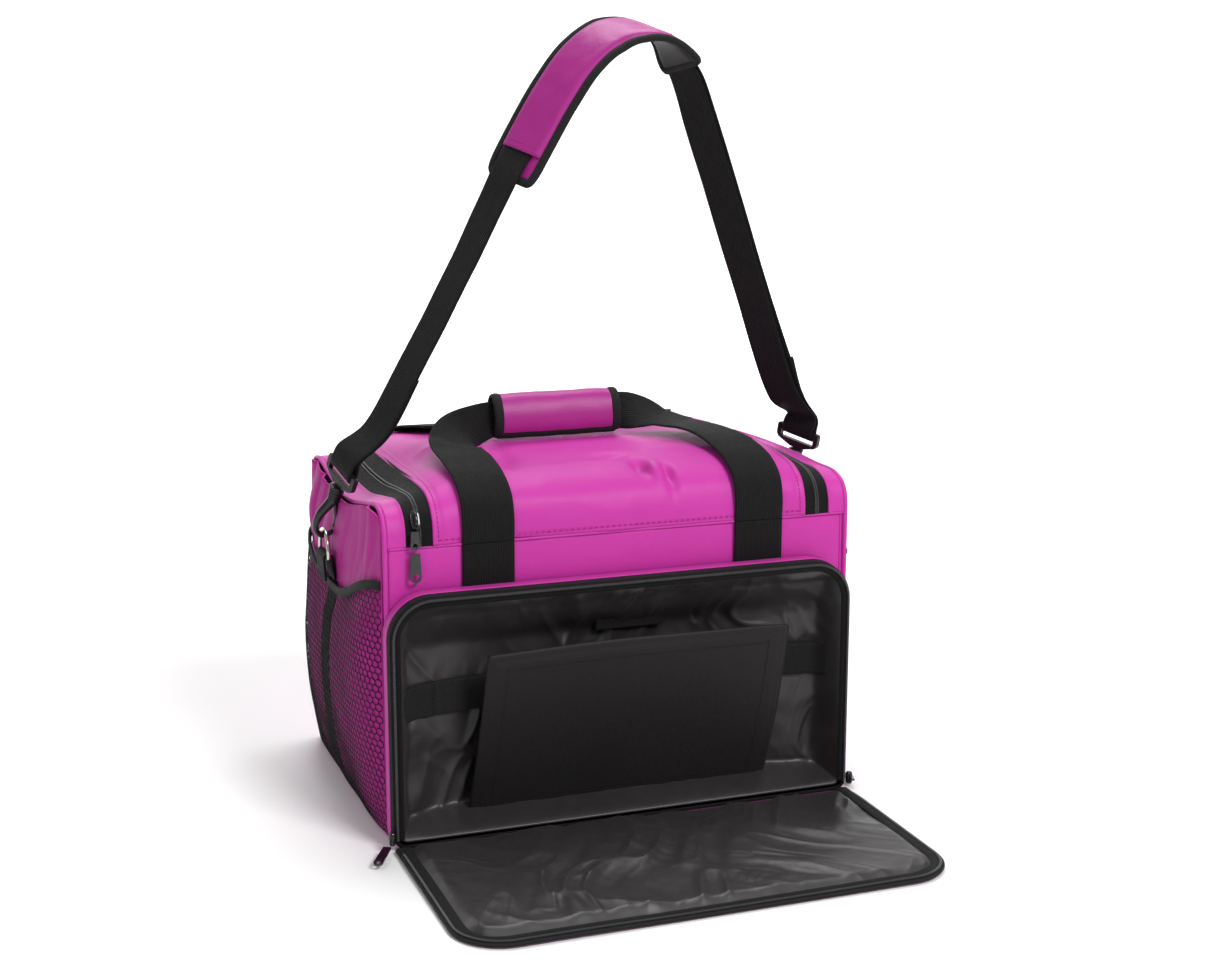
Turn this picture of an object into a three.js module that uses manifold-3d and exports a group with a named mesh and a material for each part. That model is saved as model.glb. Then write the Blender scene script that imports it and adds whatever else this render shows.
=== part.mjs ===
// Soft skate bag: boxy duffel with a U-zip lid, a fold-down front pocket, end
// pockets, two webbing handles and a clip-on shoulder strap.
// Millimetres, +Z up. The origin is the centre of the base on the floor, +X runs
// along the bag to its right end, and the front faces -Y.
import * as THREE from 'three';
import { mergeVertices } from 'three/addons/utils/BufferGeometryUtils.js';
import Module from 'manifold-3d';

const wasm = await Module();
wasm.setup();

// ---- Driving dimensions -------------------------------------------------------
const HALF_LENGTH = 229;          // centre to the end seams
const HALF_DEPTH = 155;           // centre to the front and back seams
const SEAM_HEIGHT = 277;          // the lid's hinge seam across the front
const TOP_RUN = 386;              // length over the top, front seam to back seam
const FABRIC = 2;                 // coated fabric with its foam backing
const GAP = 0.4;                  // kept between touching pieces
const PIPING_RADIUS = 2.5;

const ZIP_X = 200;                // legs of the lid's zip, either side of centre
const ZIP_BACK_RUN = 309;         // where the zip crosses the back, along the top
const ZIP_CORNER = 40;
const TAPE = 13.6;                // visible width of each zip tape

const HANDLE_WEBBING = 50;
const HANDLE_X = 135;
const WEBBING_THICKNESS = 2.4;

const POCKET_CENTRE_X = -6.5;
const POCKET_HALF_WIDTH = 228.5;
const POCKET_BOTTOM = 2.5;
const POCKET_TOP = 236;
const POCKET_BACK_Y = -159.4;
const POCKET_FRONT_Y = -186;
const POCKET_TOP_RADIUS = 38;
const POCKET_BOTTOM_RADIUS = 10;
const POCKET_TAPE = 12;
const POCKET_HOLLOW = 22;         // how far the body's front gives way behind it

const FLAP_HINGE_Y = -192;
const FLAP_NEAR_Y = -190.8;
const FLAP_FAR_Y = -416;
const FLAP_HALF_WIDTH = 227.9;
const FLAP_CORNER = 46;
const FLAP_EDGE = 9;

const STRAP_WEBBING = 38;
const STRAP_THICKNESS = 2.2;
const PAD_WIDTH = 66;
const PAD_THICKNESS = 7;
const RING_X = { left: 253, right: 249 };   // centre plane of each D-ring
const RING_Y = 10;
const RING_BAR_Z = 236;
const RING_TOP_Z = 262;
const RING_WIRE = 2;

// ---- Finishes -----------------------------------------------------------------
const finish = (color, roughness, metalness = 0) =>
  new THREE.MeshStandardMaterial({ color, roughness, metalness });
const fuchsia = finish(0xc8389c, 0.5);
const lining = finish(0x3a3637, 0.45);
const webbing = finish(0x1c1c1d, 0.85);
const tapeFinish = finish(0x202022, 0.8);
const meshFinish = finish(0x2a2028, 0.8);
const plastic = finish(0x141415, 0.4);
const nickel = finish(0xb9b4a6, 0.25, 1);
const board = finish(0x2b2b2b, 0.7);

const bag = new THREE.Group();

function part(name, geometry, material, parent = bag) {
  const mesh = new THREE.Mesh(geometry, material);
  mesh.name = name;
  parent.add(mesh);
  return mesh;
}

// ---- Geometry helpers ---------------------------------------------------------
const vec = (x, y, z) => new THREE.Vector3(x, y, z);
const lerp = THREE.MathUtils.lerp;
const smooth = (value) => THREE.MathUtils.smoothstep(value, 0, 1);

// Closed body through a row of sections. Point i of a section faces point
// (last - i) across it, which is how the two ends are capped.
function loft(sections, closed = false) {
  const count = sections[0].length;
  const positions = [];
  for (const section of sections) {
    for (const point of section) {
      positions.push(point.x, point.y, point.z);
    }
  }
  const faces = [];
  const quad = (a, b, c, d) => faces.push(a, b, c, a, c, d);
  const spans = closed ? sections.length : sections.length - 1;
  for (let row = 0; row < spans; row += 1) {
    const here = row * count;
    const next = ((row + 1) % sections.length) * count;
    for (let i = 0; i < count; i += 1) {
      const j = (i + 1) % count;
      quad(here + i, here + j, next + j, next + i);
    }
  }
  if (!closed) {
    const far = (sections.length - 1) * count;
    for (let i = 0; i < count / 2 - 1; i += 1) {
      const opposite = count - 1 - i;
      quad(opposite, opposite - 1, i + 1, i);
      quad(far + i, far + i + 1, far + opposite - 1, far + opposite);
    }
  }
  let volume = 0;
  const corner = (k) => vec().fromArray(positions, faces[k] * 3);
  for (let k = 0; k < faces.length; k += 3) {
    volume += corner(k).dot(corner(k + 1).cross(corner(k + 2)));
  }
  if (volume < 0) {
    faces.reverse();
  }
  const geometry = new THREE.BufferGeometry();
  geometry.setAttribute('position', new THREE.Float32BufferAttribute(positions, 3));
  geometry.setIndex(faces);
  geometry.computeVertexNormals();
  return geometry;
}

// Thin body between surface(u, v) and the same surface moved along its normal,
// with u and v from 0 to 1.
function sheet(surface, columns, rows, thickness, lift = 0) {
  const step = 1e-3;
  const pointAt = (u, v, offset) => {
    const u0 = Math.min(u, 1 - step);
    const v0 = Math.min(v, 1 - step);
    const here = surface(u0, v0);
    const along = surface(u0 + step, v0).sub(here);
    const normal = surface(u0, v0 + step).sub(here).cross(along).normalize();
    return surface(u, v).addScaledVector(normal, offset);
  };
  const sections = [];
  for (let row = 0; row <= rows; row += 1) {
    const outer = [];
    const inner = [];
    for (let column = 0; column <= columns; column += 1) {
      outer.push(pointAt(column / columns, row / rows, lift));
      inner.push(pointAt(column / columns, row / rows, lift + thickness));
    }
    sections.push([...outer, ...inner.reverse()]);
  }
  return loft(sections);
}

// Flat webbing along a list of stations { at, across, width }, moved `offset` off them.
function ribbon(stations, thickness, steps, offset = 0) {
  const path = new THREE.CatmullRomCurve3(stations.map((s) => s.at), false, 'centripetal');
  const sections = [];
  for (let i = 0; i <= steps; i += 1) {
    const t = i / steps;
    const place = t * (stations.length - 1);
    const low = Math.min(Math.floor(place), stations.length - 2);
    const share = place - low;
    const at = path.getPoint(t);
    const tangent = path.getTangent(t);
    const across = stations[low].across.clone().lerp(stations[low + 1].across, share);
    across.addScaledVector(tangent, -across.dot(tangent)).normalize();
    const normal = tangent.clone().cross(across);
    at.addScaledVector(normal, offset);
    normal.multiplyScalar(thickness / 2);
    across.multiplyScalar(lerp(stations[low].width, stations[low + 1].width, share) / 2);
    sections.push([
      at.clone().add(across).add(normal),
      at.clone().add(across).sub(normal),
      at.clone().sub(across).sub(normal),
      at.clone().sub(across).add(normal),
    ]);
  }
  return loft(sections);
}

// Round bar along a curve.
function rod(curve, radius, steps, sides = 8) {
  const circle = new THREE.Shape().absarc(0, 0, radius, 0, Math.PI * 2);
  return new THREE.ExtrudeGeometry(circle, {
    extrudePath: curve,
    steps,
    curveSegments: sides,
    bevelEnabled: false,
  });
}

// Closed ring of round section lying in a plane x = constant.
function planarRing(points, radius, sides = 8) {
  const count = points.length;
  const sections = points.map((point, i) => {
    const tangent = points[(i + 1) % count].clone().sub(points[(i + count - 1) % count]).normalize();
    const side = tangent.clone().cross(vec(1, 0, 0));
    const section = [];
    for (let k = 0; k < sides; k += 1) {
      const angle = ((k + 0.5) / sides) * Math.PI * 2;
      section.push(point.clone()
        .addScaledVector(side, Math.cos(angle) * radius)
        .add(vec(Math.sin(angle) * radius, 0, 0)));
    }
    return section;
  });
  return loft(sections, true);
}

function box(x0, x1, y0, y1, z0, z1) {
  const geometry = new THREE.BoxGeometry(x1 - x0, y1 - y0, z1 - z0);
  return geometry.translate((x0 + x1) / 2, (y0 + y1) / 2, (z0 + z1) / 2);
}

// Plate cut from a shape in the XY plane, from z = bottom upwards.
function plate(shape, bottom, thickness, curveSegments = 8) {
  const geometry = new THREE.ExtrudeGeometry(shape, {
    depth: thickness,
    curveSegments,
    bevelEnabled: false,
  });
  return geometry.translate(0, 0, bottom);
}

function toSolid(geometry) {
  const bare = geometry.clone();
  bare.deleteAttribute('normal');
  bare.deleteAttribute('uv');
  const merged = mergeVertices(bare, 1e-4);
  return new wasm.Manifold(new wasm.Mesh({
    numProp: 3,
    vertProperties: new Float32Array(merged.attributes.position.array),
    triVerts: new Uint32Array(merged.index.array),
  }));
}

function join(first, ...others) {
  let solid = toSolid(first);
  for (const other of others) {
    solid = solid.add(toSolid(other));
  }
  const mesh = solid.getMesh();
  const geometry = new THREE.BufferGeometry();
  geometry.setAttribute('position', new THREE.Float32BufferAttribute(mesh.vertProperties, 3));
  geometry.setIndex(new THREE.Uint32BufferAttribute(mesh.triVerts, 1));
  geometry.computeVertexNormals();
  return geometry;
}

// ---- The bag's outer form -----------------------------------------------------
// The top runs from the front seam, over the bag, to the back seam. The middle is
// domed and the ends sag between their corners, the left one more than the right.
const profile = (points) => new THREE.CatmullRomCurve3(
  points.map(([y, z]) => vec(0, y, z)), false, 'centripetal');
const MIDDLE = profile([
  [-156, 277], [-155, 296], [-148, 314], [-130, 328], [-90, 338], [-30, 344],
  [30, 345], [85, 340], [125, 330], [148, 314], [154, 296], [155, 277],
]);
const endProfile = (sag) => profile([
  [-155, 277], [-154, 292], [-147, 305], [-130, 312], [-90, 312 - sag * 0.35], [-30, 312 - sag],
  [30, 312 - sag], [85, 312 - sag * 0.45], [125, 311], [146, 306], [153, 292], [155, 277],
]);
const LEFT_END = endProfile(15);
const RIGHT_END = endProfile(-3);
const SHOULDER_X = 150;           // inside this the top has no cross slope

function topPoint(x, run) {
  const share = THREE.MathUtils.clamp(run / TOP_RUN, 0, 1);
  const middle = MIDDLE.getPointAt(share);
  const end = (x < 0 ? LEFT_END : RIGHT_END).getPointAt(share);
  const blend = smooth((Math.abs(x) - SHOULDER_X) / (HALF_LENGTH - SHOULDER_X));
  return vec(x, lerp(middle.y, end.y, blend), lerp(middle.z, end.z, blend));
}

function topNormal(x, run) {
  const step = 1;
  const from = Math.min(Math.max(run, step), TOP_RUN - step);
  const along = topPoint(x, from + step).sub(topPoint(x, from - step));
  const across = topPoint(x + step, from).sub(topPoint(x - step, from));
  return across.cross(along).normalize();
}

const onTop = (x, run, lift) => topPoint(x, run).addScaledVector(topNormal(x, run), lift);

function endHeight(curve, y) {
  let low = 0;
  let high = 1;
  for (let i = 0; i < 24; i += 1) {
    const middle = (low + high) / 2;
    if (curve.getPointAt(middle).y < y) {
      low = middle;
    } else {
      high = middle;
    }
  }
  return curve.getPointAt(low).z;
}

// Outward bulge of an end panel and of the pocket on it, over y and height share.
const bulge = (y, share) => (1 - (y / HALF_DEPTH) ** 4) * Math.sin(Math.PI * Math.min(share, 1) ** 0.8);

// ---- Base ---------------------------------------------------------------------
part('base_panel', box(-226, 226, -152, 152, 0, FABRIC), board);
part('base_board', box(-218, 218, -128, 144, FABRIC + GAP, FABRIC + GAP + 3), board);

// ---- Front, back and ends -------------------------------------------------------
const WALL_BOTTOM = FABRIC + GAP;
// The front leans back behind the pocket, where the pocket's lining presses on it.
function frontY(x, z) {
  const hollow = smooth((240 - z) / 60) * (1 - (x / HALF_LENGTH) ** 4);
  return -HALF_DEPTH + POCKET_HOLLOW * hollow;
}
part('front_panel', sheet((u, v) => {
  const x = lerp(-227, 227, u);
  const z = lerp(WALL_BOTTOM, SEAM_HEIGHT - GAP, v);
  return vec(x, frontY(x, z), z);
}, 16, 12, FABRIC), fuchsia);

part('back_panel', sheet((u, v) => {
  const x = lerp(227, -227, u);
  return vec(x, HALF_DEPTH, lerp(WALL_BOTTOM, SEAM_HEIGHT - GAP, v));
}, 6, 4, FABRIC), fuchsia);

const END_BULGE = { left: 14, right: 6 };
const ENDS = [
  { name: 'left', side: -1, curve: LEFT_END },
  { name: 'right', side: 1, curve: RIGHT_END },
];

function endPanelX(end, y, z) {
  const share = (z - WALL_BOTTOM) / 290;
  return end.side * (HALF_LENGTH + FABRIC + END_BULGE[end.name] * bulge(y, share));
}

for (const end of ENDS) {
  const halfY = HALF_DEPTH - PIPING_RADIUS - 2;
  part(`${end.name}_end_panel`, sheet((u, v) => {
    const y = lerp(-halfY, halfY, u) * -end.side;
    const top = endHeight(end.curve, y) - PIPING_RADIUS - 5.2;
    const z = lerp(2 * PIPING_RADIUS + 1.8, top, v);
    return vec(endPanelX(end, y, z), y, z);
  }, 14, 10, FABRIC), fuchsia);

  const outline = [];
  for (let i = 0; i <= 36; i += 1) {
    outline.push(end.curve.getPointAt(i / 36));
  }
  const low = PIPING_RADIUS + 0.2;
  const bottomCorner = 4;
  for (let i = 0; i <= 4; i += 1) {
    const angle = (i / 4) * Math.PI / 2;
    outline.push(vec(0, HALF_DEPTH - bottomCorner * (1 - Math.cos(angle)),
      low + bottomCorner * (1 - Math.sin(angle))));
  }
  for (let i = 4; i >= 0; i -= 1) {
    const angle = (i / 4) * Math.PI / 2;
    outline.push(vec(0, -HALF_DEPTH + bottomCorner * (1 - Math.cos(angle)),
      low + bottomCorner * (1 - Math.sin(angle))));
  }
  const pipingX = end.side * (HALF_LENGTH + PIPING_RADIUS + 0.2);
  const points = outline.map((point) => vec(pipingX, point.y, point.z));
  part(`${end.name}_piping`, planarRing(points, PIPING_RADIUS, 6), fuchsia);
}

// ---- Top: side strips, back strip, zip and lid ----------------------------------
const STRIP_INNER = ZIP_X + TAPE + 1.4;
for (const end of ENDS) {
  part(`${end.name}_top_strip`, sheet((u, v) => {
    const x = end.side * lerp(HALF_LENGTH - 0.8, STRIP_INNER, u);
    return topPoint(x, lerp(0.6, TOP_RUN - 0.6, end.side < 0 ? 1 - v : v));
  }, 2, 30, FABRIC), fuchsia);
}

// The back strip's columns follow the zip's two corners and its straight run between.
const backColumns = [];
for (let i = 0; i <= 8; i += 1) {
  const angle = (i / 8) * Math.PI / 2;
  const radius = ZIP_CORNER + TAPE + GAP + 0.3;
  backColumns.push({
    x: Math.min(ZIP_X - ZIP_CORNER + radius * Math.cos(angle), STRIP_INNER - 0.8),
    run: ZIP_BACK_RUN - ZIP_CORNER + radius * Math.sin(angle),
  });
}
for (const x of [120, 80, 40, 0]) {
  backColumns.push({ x, run: backColumns[8].run });
}
for (let i = backColumns.length - 2; i >= 0; i -= 1) {
  backColumns.push({ x: -backColumns[i].x, run: backColumns[i].run });
}
backColumns.reverse();
part('back_top_strip', sheet((u, v) => {
  const place = u * (backColumns.length - 1);
  const low = Math.min(Math.floor(place), backColumns.length - 2);
  const x = lerp(backColumns[low].x, backColumns[low + 1].x, place - low);
  const run = lerp(backColumns[low].run, backColumns[low + 1].run, place - low);
  return topPoint(x, lerp(TOP_RUN - 0.6, run, v));
}, backColumns.length - 1, 9, FABRIC), fuchsia);

// The zip's U in flat (x, run) terms, with the normal that points out of the lid.
function zipStations() {
  const stations = [];
  const start = 1.2;
  const corner = ZIP_BACK_RUN - ZIP_CORNER;
  for (let i = 0; i < 22; i += 1) {
    stations.push({ x: -ZIP_X, run: lerp(start, corner, i / 22), nx: -1, nr: 0 });
  }
  for (let i = 0; i <= 6; i += 1) {
    const angle = Math.PI - (i / 6) * Math.PI / 2;
    stations.push({
      x: -ZIP_X + ZIP_CORNER + ZIP_CORNER * Math.cos(angle),
      run: corner + ZIP_CORNER * Math.sin(angle),
      nx: Math.cos(angle),
      nr: Math.sin(angle),
    });
  }
  const half = stations.length;
  for (let i = half - 1; i >= 0; i -= 1) {
    const left = stations[i];
    stations.push({ x: -left.x, run: left.run, nx: -left.nx, nr: left.nr });
  }
  return stations;
}
const ZIP = zipStations();

// Tape from `near` to `far` off the zip's line, with its coil as a rib at the line.
function zipTape(near, far, ribFar) {
  return loft(ZIP.map((s) => {
    const place = (offset, lift) => onTop(s.x + s.nx * offset, s.run + s.nr * offset, lift);
    return [
      place(far, -1.4), place(near, -1.4), place(near, 1.2),
      place(ribFar, 1.2), place(ribFar, 0), place(far, 0),
    ];
  }));
}
part('top_zip_tape_outer', zipTape(0.3, TAPE, 3.2), tapeFinish);

// ---- Lid, which turns about the front seam --------------------------------------
part('top_zip_tape_lid', zipTape(-0.3, -TAPE, -3.2), tapeFinish);
part('top_lid', sheet((u, v) => {
  const half = ZIP_X - TAPE - GAP;
  const margin = -TAPE - GAP;
  const corner = ZIP_CORNER + margin;
  const end = ZIP_BACK_RUN + margin;
  const run = lerp(1.2, end, v);
  const inCorner = Math.max(run - (end - corner), 0);
  const halfHere = half - corner + Math.sqrt(Math.max(corner ** 2 - inCorner ** 2, 0));
  return topPoint(lerp(halfHere, -halfHere, 1 - u), run);
}, 14, 16, -FABRIC), fuchsia);

// ---- Carrying handles -------------------------------------------------------------
const webX = vec(1, 0, 0);
for (const [name, x] of [['left', -HANDLE_X], ['right', HANDLE_X]]) {
  const frontLow = POCKET_TOP - 12;
  part(`front_webbing_${name}`, ribbon([
    { at: vec(x, -157.2, frontLow), across: webX, width: HANDLE_WEBBING },
    { at: vec(x, -157.4, 250), across: webX, width: HANDLE_WEBBING },
    { at: vec(x, -157.6, SEAM_HEIGHT - 0.8), across: webX, width: HANDLE_WEBBING },
  ], WEBBING_THICKNESS, 4), webbing);
  part(`back_webbing_${name}`, ribbon([
    { at: vec(x, HALF_DEPTH + 1.7, 8), across: webX, width: HANDLE_WEBBING },
    { at: vec(x, HALF_DEPTH + 1.7, 140), across: webX, width: HANDLE_WEBBING },
    { at: vec(x, HALF_DEPTH + 1.7, SEAM_HEIGHT - 0.8), across: webX, width: HANDLE_WEBBING },
  ], WEBBING_THICKNESS, 4), webbing);
}

// Half a handle from its foot to the grip. Run and lift are over the top's surface, and
// `across` is given along the bag, along the run and off the surface.
const GRIP_X = -20;
const GRIP_HALF = 64;
const GRIP_RUN = 184;
const GRIP_LIFT = 28.5;
const frontHalf = [
  { x: 135, run: 3, lift: 4, across: [1, 0, 0], width: 50 },
  { x: 135, run: 20, lift: 5, across: [1, 0, 0], width: 50 },
  { x: 134, run: 45, lift: 5.2, across: [1, 0.05, 0], width: 50 },
  { x: 130, run: 75, lift: 5.4, across: [0.97, 0.2, 0], width: 50 },
  { x: 119, run: 105, lift: 6.8, across: [0.92, 0.38, 0.02], width: 50 },
  { x: 104, run: 135, lift: 9.5, across: [0.84, 0.52, 0.06], width: 50 },
  { x: 87, run: 158, lift: 14, across: [0.74, 0.6, 0.22], width: 49 },
  { x: 71, run: 172, lift: 20, across: [0.55, 0.6, 0.5], width: 46 },
  { x: 57, run: 180, lift: 26, across: [0.3, 0.4, 0.85], width: 38 },
];
const backHalf = [
  { x: 135, run: 381, lift: 5, across: [1, 0, 0], width: 50 },
  { x: 135, run: 360, lift: 5.6, across: [1, 0, 0], width: 50 },
  { x: 134, run: 335, lift: 5.6, across: [1, -0.05, 0], width: 50 },
  { x: 128, run: 305, lift: 5.6, across: [0.95, -0.3, 0], width: 50 },
  { x: 114, run: 278, lift: 5.8, across: [0.8, -0.6, 0], width: 50 },
  { x: 92, run: 257, lift: 6, across: [0.5, -0.87, 0], width: 50 },
  { x: 66, run: 247, lift: 6, across: [0.2, -0.98, 0], width: 50 },
];

function onSurface(x, run, lift, across, width) {
  const normal = topNormal(x, run);
  const forward = normal.clone().cross(vec(1, 0, 0)).normalize();
  const direction = vec(across[0], 0, 0)
    .addScaledVector(forward, across[1])
    .addScaledVector(normal, across[2]);
  return { at: onTop(x, run, lift), across: direction, width };
}

function handle(half, gripStations) {
  const right = half.map((s) => onSurface(s.x, s.run, s.lift, s.across, s.width));
  const left = half.map((s) => {
    const share = THREE.MathUtils.clamp((HANDLE_X - s.x) / (HANDLE_X - 57), 0, 1);
    const [a, b, c] = s.across;
    return onSurface(-s.x + 2 * GRIP_X * share, s.run, s.lift, [-a, b, c], s.width);
  });
  return [...right, ...gripStations, ...left.reverse()];
}
const frontGrip = [GRIP_HALF, GRIP_HALF / 2, 0, -GRIP_HALF / 2, -GRIP_HALF].map(
  (x) => onSurface(GRIP_X + x, GRIP_RUN, GRIP_LIFT, [0, 0.3, 0.95], 32));
part('front_handle_webbing', ribbon(handle(frontHalf, frontGrip), WEBBING_THICKNESS, 66), webbing);

const backGrip = [40, 0, -40].map(
  (x) => onSurface(GRIP_X + x, 245, 6, [0, -1, 0], 50));
part('back_handle_webbing', ribbon(handle(backHalf, backGrip), WEBBING_THICKNESS, 54), webbing);

// Padded wrap round the front handle's grip, open along its underside.
function gripWrap() {
  const centre = onTop(GRIP_X, GRIP_RUN, GRIP_LIFT);
  const up = vec(0, 0.3, 0.95).normalize();
  const out = vec(0, -up.z, up.y);
  const sections = [];
  for (const x of [-GRIP_HALF, -GRIP_HALF / 2, 0, GRIP_HALF / 2, GRIP_HALF]) {
    const arc = (halfHeight, halfThickness) => {
      const points = [];
      for (let i = 0; i <= 14; i += 1) {
        const angle = THREE.MathUtils.degToRad(lerp(-68, 248, i / 14));
        points.push(centre.clone()
          .add(vec(x, 0, 0))
          .addScaledVector(up, Math.sin(angle) * halfHeight)
          .addScaledVector(out, Math.cos(angle) * halfThickness));
      }
      return points;
    };
    sections.push([...arc(22, 9.5), ...arc(18.5, 6).reverse()]);
  }
  return loft(sections);
}
part('grip_wrap', gripWrap(), fuchsia);

// ---- Front pocket -------------------------------------------------------------------
// Stations round a pocket-shaped outline, from the bottom middle or a bottom corner,
// each with its outward normal in the plane of the front.
function pocketOutline(closed) {
  const stations = [];
  const arc = (cx, cz, radius, from, steps) => {
    for (let i = 0; i <= steps; i += 1) {
      const angle = THREE.MathUtils.degToRad(from - (90 * i) / steps);
      const nx = Math.cos(angle);
      const nz = Math.sin(angle);
      stations.push({ x: cx + radius * nx, z: cz + radius * nz, nx, nz });
    }
  };
  const left = POCKET_CENTRE_X - POCKET_HALF_WIDTH;
  const right = POCKET_CENTRE_X + POCKET_HALF_WIDTH;
  const low = POCKET_BOTTOM_RADIUS;
  const high = POCKET_TOP_RADIUS;
  if (closed) {
    arc(left + low, POCKET_BOTTOM + low, low, 270, 3);
  } else {
    stations.push({ x: left, z: POCKET_BOTTOM + low + 1, nx: -1, nz: 0 });
  }
  arc(left + high, POCKET_TOP - high, high, 180, 7);
  arc(right - high, POCKET_TOP - high, high, 90, 7);
  if (closed) {
    arc(right - low, POCKET_BOTTOM + low, low, 0, 3);
  } else {
    stations.push({ x: right, z: POCKET_BOTTOM + low + 1, nx: 1, nz: 0 });
  }
  return stations;
}

const outlinePoint = (s, inset, y) => vec(s.x - s.nx * inset, y, s.z - s.nz * inset);
part('pocket_gusset', loft(pocketOutline(true).map((s) => [
  outlinePoint(s, 0, POCKET_BACK_Y),
  outlinePoint(s, 0, POCKET_FRONT_Y),
  outlinePoint(s, FABRIC + 0.5, POCKET_FRONT_Y),
  outlinePoint(s, FABRIC + 0.5, POCKET_BACK_Y),
]), true), fuchsia);

const tapeBackY = POCKET_FRONT_Y - GAP;
part('pocket_zip_tape', loft(pocketOutline(false).map((s) => [
  outlinePoint(s, POCKET_TAPE, tapeBackY),
  outlinePoint(s, 0, tapeBackY),
  outlinePoint(s, 0, tapeBackY - 3),
  outlinePoint(s, 3.2, tapeBackY - 3),
  outlinePoint(s, 3.2, tapeBackY - 1.4),
  outlinePoint(s, POCKET_TAPE, tapeBackY - 1.4),
])), tapeFinish);

const LINING_THICKNESS = 1.2;
const liningY = (x, z) => frontY(x, z) - 1.8 - LINING_THICKNESS;
part('pocket_lining', sheet((u, v) => {
  const x = lerp(-218, 214, u);
  const z = lerp(6, 222, v);
  return vec(x, liningY(x, z), z);
}, 16, 11, LINING_THICKNESS), lining);

// Elastic loops across the lining, behind the organiser panel.
part('elastic_band', sheet((u, v) => {
  const x = lerp(-217, 213, u);
  const z = lerp(114, 146, v);
  return vec(x, liningY(x, z) - 2.4, z);
}, 16, 2, 1.2), webbing);

part('hook_loop_strip', sheet((u, v) => {
  const x = lerp(-25, 41, u);
  const z = lerp(178, 190, v);
  return vec(x, liningY(x, z) - 3, z);
}, 2, 1, 1.8), webbing);

// Padded organiser panel: sewn along its foot, its top leans forward.
const ORGANISER = { footX: -3, topX: 8, halfWidth: 153, foot: 7, top: 180, footY: -146, topY: -183 };
part('organiser_panel', sheet((u, v) => {
  const centre = lerp(ORGANISER.footX, ORGANISER.topX, v);
  const x = centre + lerp(-ORGANISER.halfWidth, ORGANISER.halfWidth, u);
  return vec(x, lerp(ORGANISER.footY, ORGANISER.topY, v), lerp(ORGANISER.foot, ORGANISER.top, v));
}, 4, 4, 4), lining);

// ---- Pocket flap, hinged along the pocket's foot and lying open on the floor -----------
function flapShape(inset) {
  const left = POCKET_CENTRE_X - FLAP_HALF_WIDTH + inset;
  const right = POCKET_CENTRE_X + FLAP_HALF_WIDTH - inset;
  const far = FLAP_FAR_Y + inset;
  const radius = FLAP_CORNER - inset;
  const shape = new THREE.Shape();
  shape.moveTo(left, FLAP_NEAR_Y);
  shape.lineTo(left, far + radius);
  shape.absarc(left + radius, far + radius, radius, Math.PI, Math.PI * 1.5);
  shape.lineTo(right - radius, far);
  shape.absarc(right - radius, far + radius, radius, Math.PI * 1.5, Math.PI * 2);
  shape.lineTo(right, FLAP_NEAR_Y);
  shape.closePath();
  return shape;
}

function flapTape() {
  const left = POCKET_CENTRE_X - FLAP_HALF_WIDTH;
  const right = POCKET_CENTRE_X + FLAP_HALF_WIDTH;
  const stations = [{ x: left, y: FLAP_NEAR_Y - 12, nx: -1, ny: 0 }];
  const corner = (cx, from) => {
    for (let i = 0; i <= 7; i += 1) {
      const angle = from + (i / 7) * Math.PI / 2;
      const nx = Math.cos(angle);
      const ny = Math.sin(angle);
      stations.push({
        x: cx + FLAP_CORNER * nx, y: FLAP_FAR_Y + FLAP_CORNER + FLAP_CORNER * ny, nx, ny,
      });
    }
  };
  corner(left + FLAP_CORNER, Math.PI);
  corner(right - FLAP_CORNER, Math.PI * 1.5);
  stations.push({ x: right, y: FLAP_NEAR_Y - 12, nx: 1, ny: 0 });
  const bottom = FABRIC + GAP;
  return loft(stations.map((s) => {
    const at = (inset, z) => vec(s.x - s.nx * inset, s.y - s.ny * inset, z);
    return [
      at(FLAP_EDGE - GAP, bottom), at(0, bottom), at(0, bottom + 3),
      at(3.2, bottom + 3), at(3.2, bottom + 1.4), at(FLAP_EDGE - GAP, bottom + 1.4),
    ];
  }));
}
part('flap_panel', plate(flapShape(0), 0, FABRIC), fuchsia);
part('flap_lining', plate(flapShape(FLAP_EDGE), FABRIC + GAP, LINING_THICKNESS), lining);
part('flap_zip_tape', flapTape(), tapeFinish);

// ---- Zip sliders and their pulls ---------------------------------------------------------
// Pull tab: a plate with an eye at the top, hanging from its pivot at the origin.
function pullShape(width, length, eye) {
  const half = width / 2;
  const shape = new THREE.Shape();
  shape.moveTo(-half * 0.8, -2.6);
  shape.lineTo(-half, -length + half);
  shape.absarc(0, -length + half, half, Math.PI, Math.PI * 2);
  shape.lineTo(half * 0.8, -2.6);
  shape.closePath();
  const hole = new THREE.Path();
  hole.absarc(0, -length + half, eye, 0, Math.PI * 2, true);
  shape.holes.push(hole);
  return shape;
}

// Lid slider, near the left foot of the zip.
const sliderRun = 26;
const sliderAt = onTop(-ZIP_X, sliderRun, 1.6);
const sliderOut = topNormal(-ZIP_X, sliderRun);
const sliderUp = vec(1, 0, 0).cross(sliderOut).multiplyScalar(-1).normalize();
const sliderGroup = new THREE.Group();
sliderGroup.position.copy(sliderAt);
sliderGroup.setRotationFromMatrix(new THREE.Matrix4().makeBasis(vec(1, 0, 0), sliderUp, sliderOut));
bag.add(sliderGroup);
const sliderShape = new THREE.Shape();
sliderShape.moveTo(-7.2, -8);
sliderShape.lineTo(-0.5, -8);
sliderShape.lineTo(-0.5, 8.5);
sliderShape.lineTo(-6.6, 8.5);
sliderShape.lineTo(-8.8, 6);
sliderShape.closePath();
part('top_zip_slider', join(
  plate(sliderShape, 0, 2.4),
  box(-5.2, -2, -5, 5, 2, 5.4),
), plastic, sliderGroup);

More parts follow.
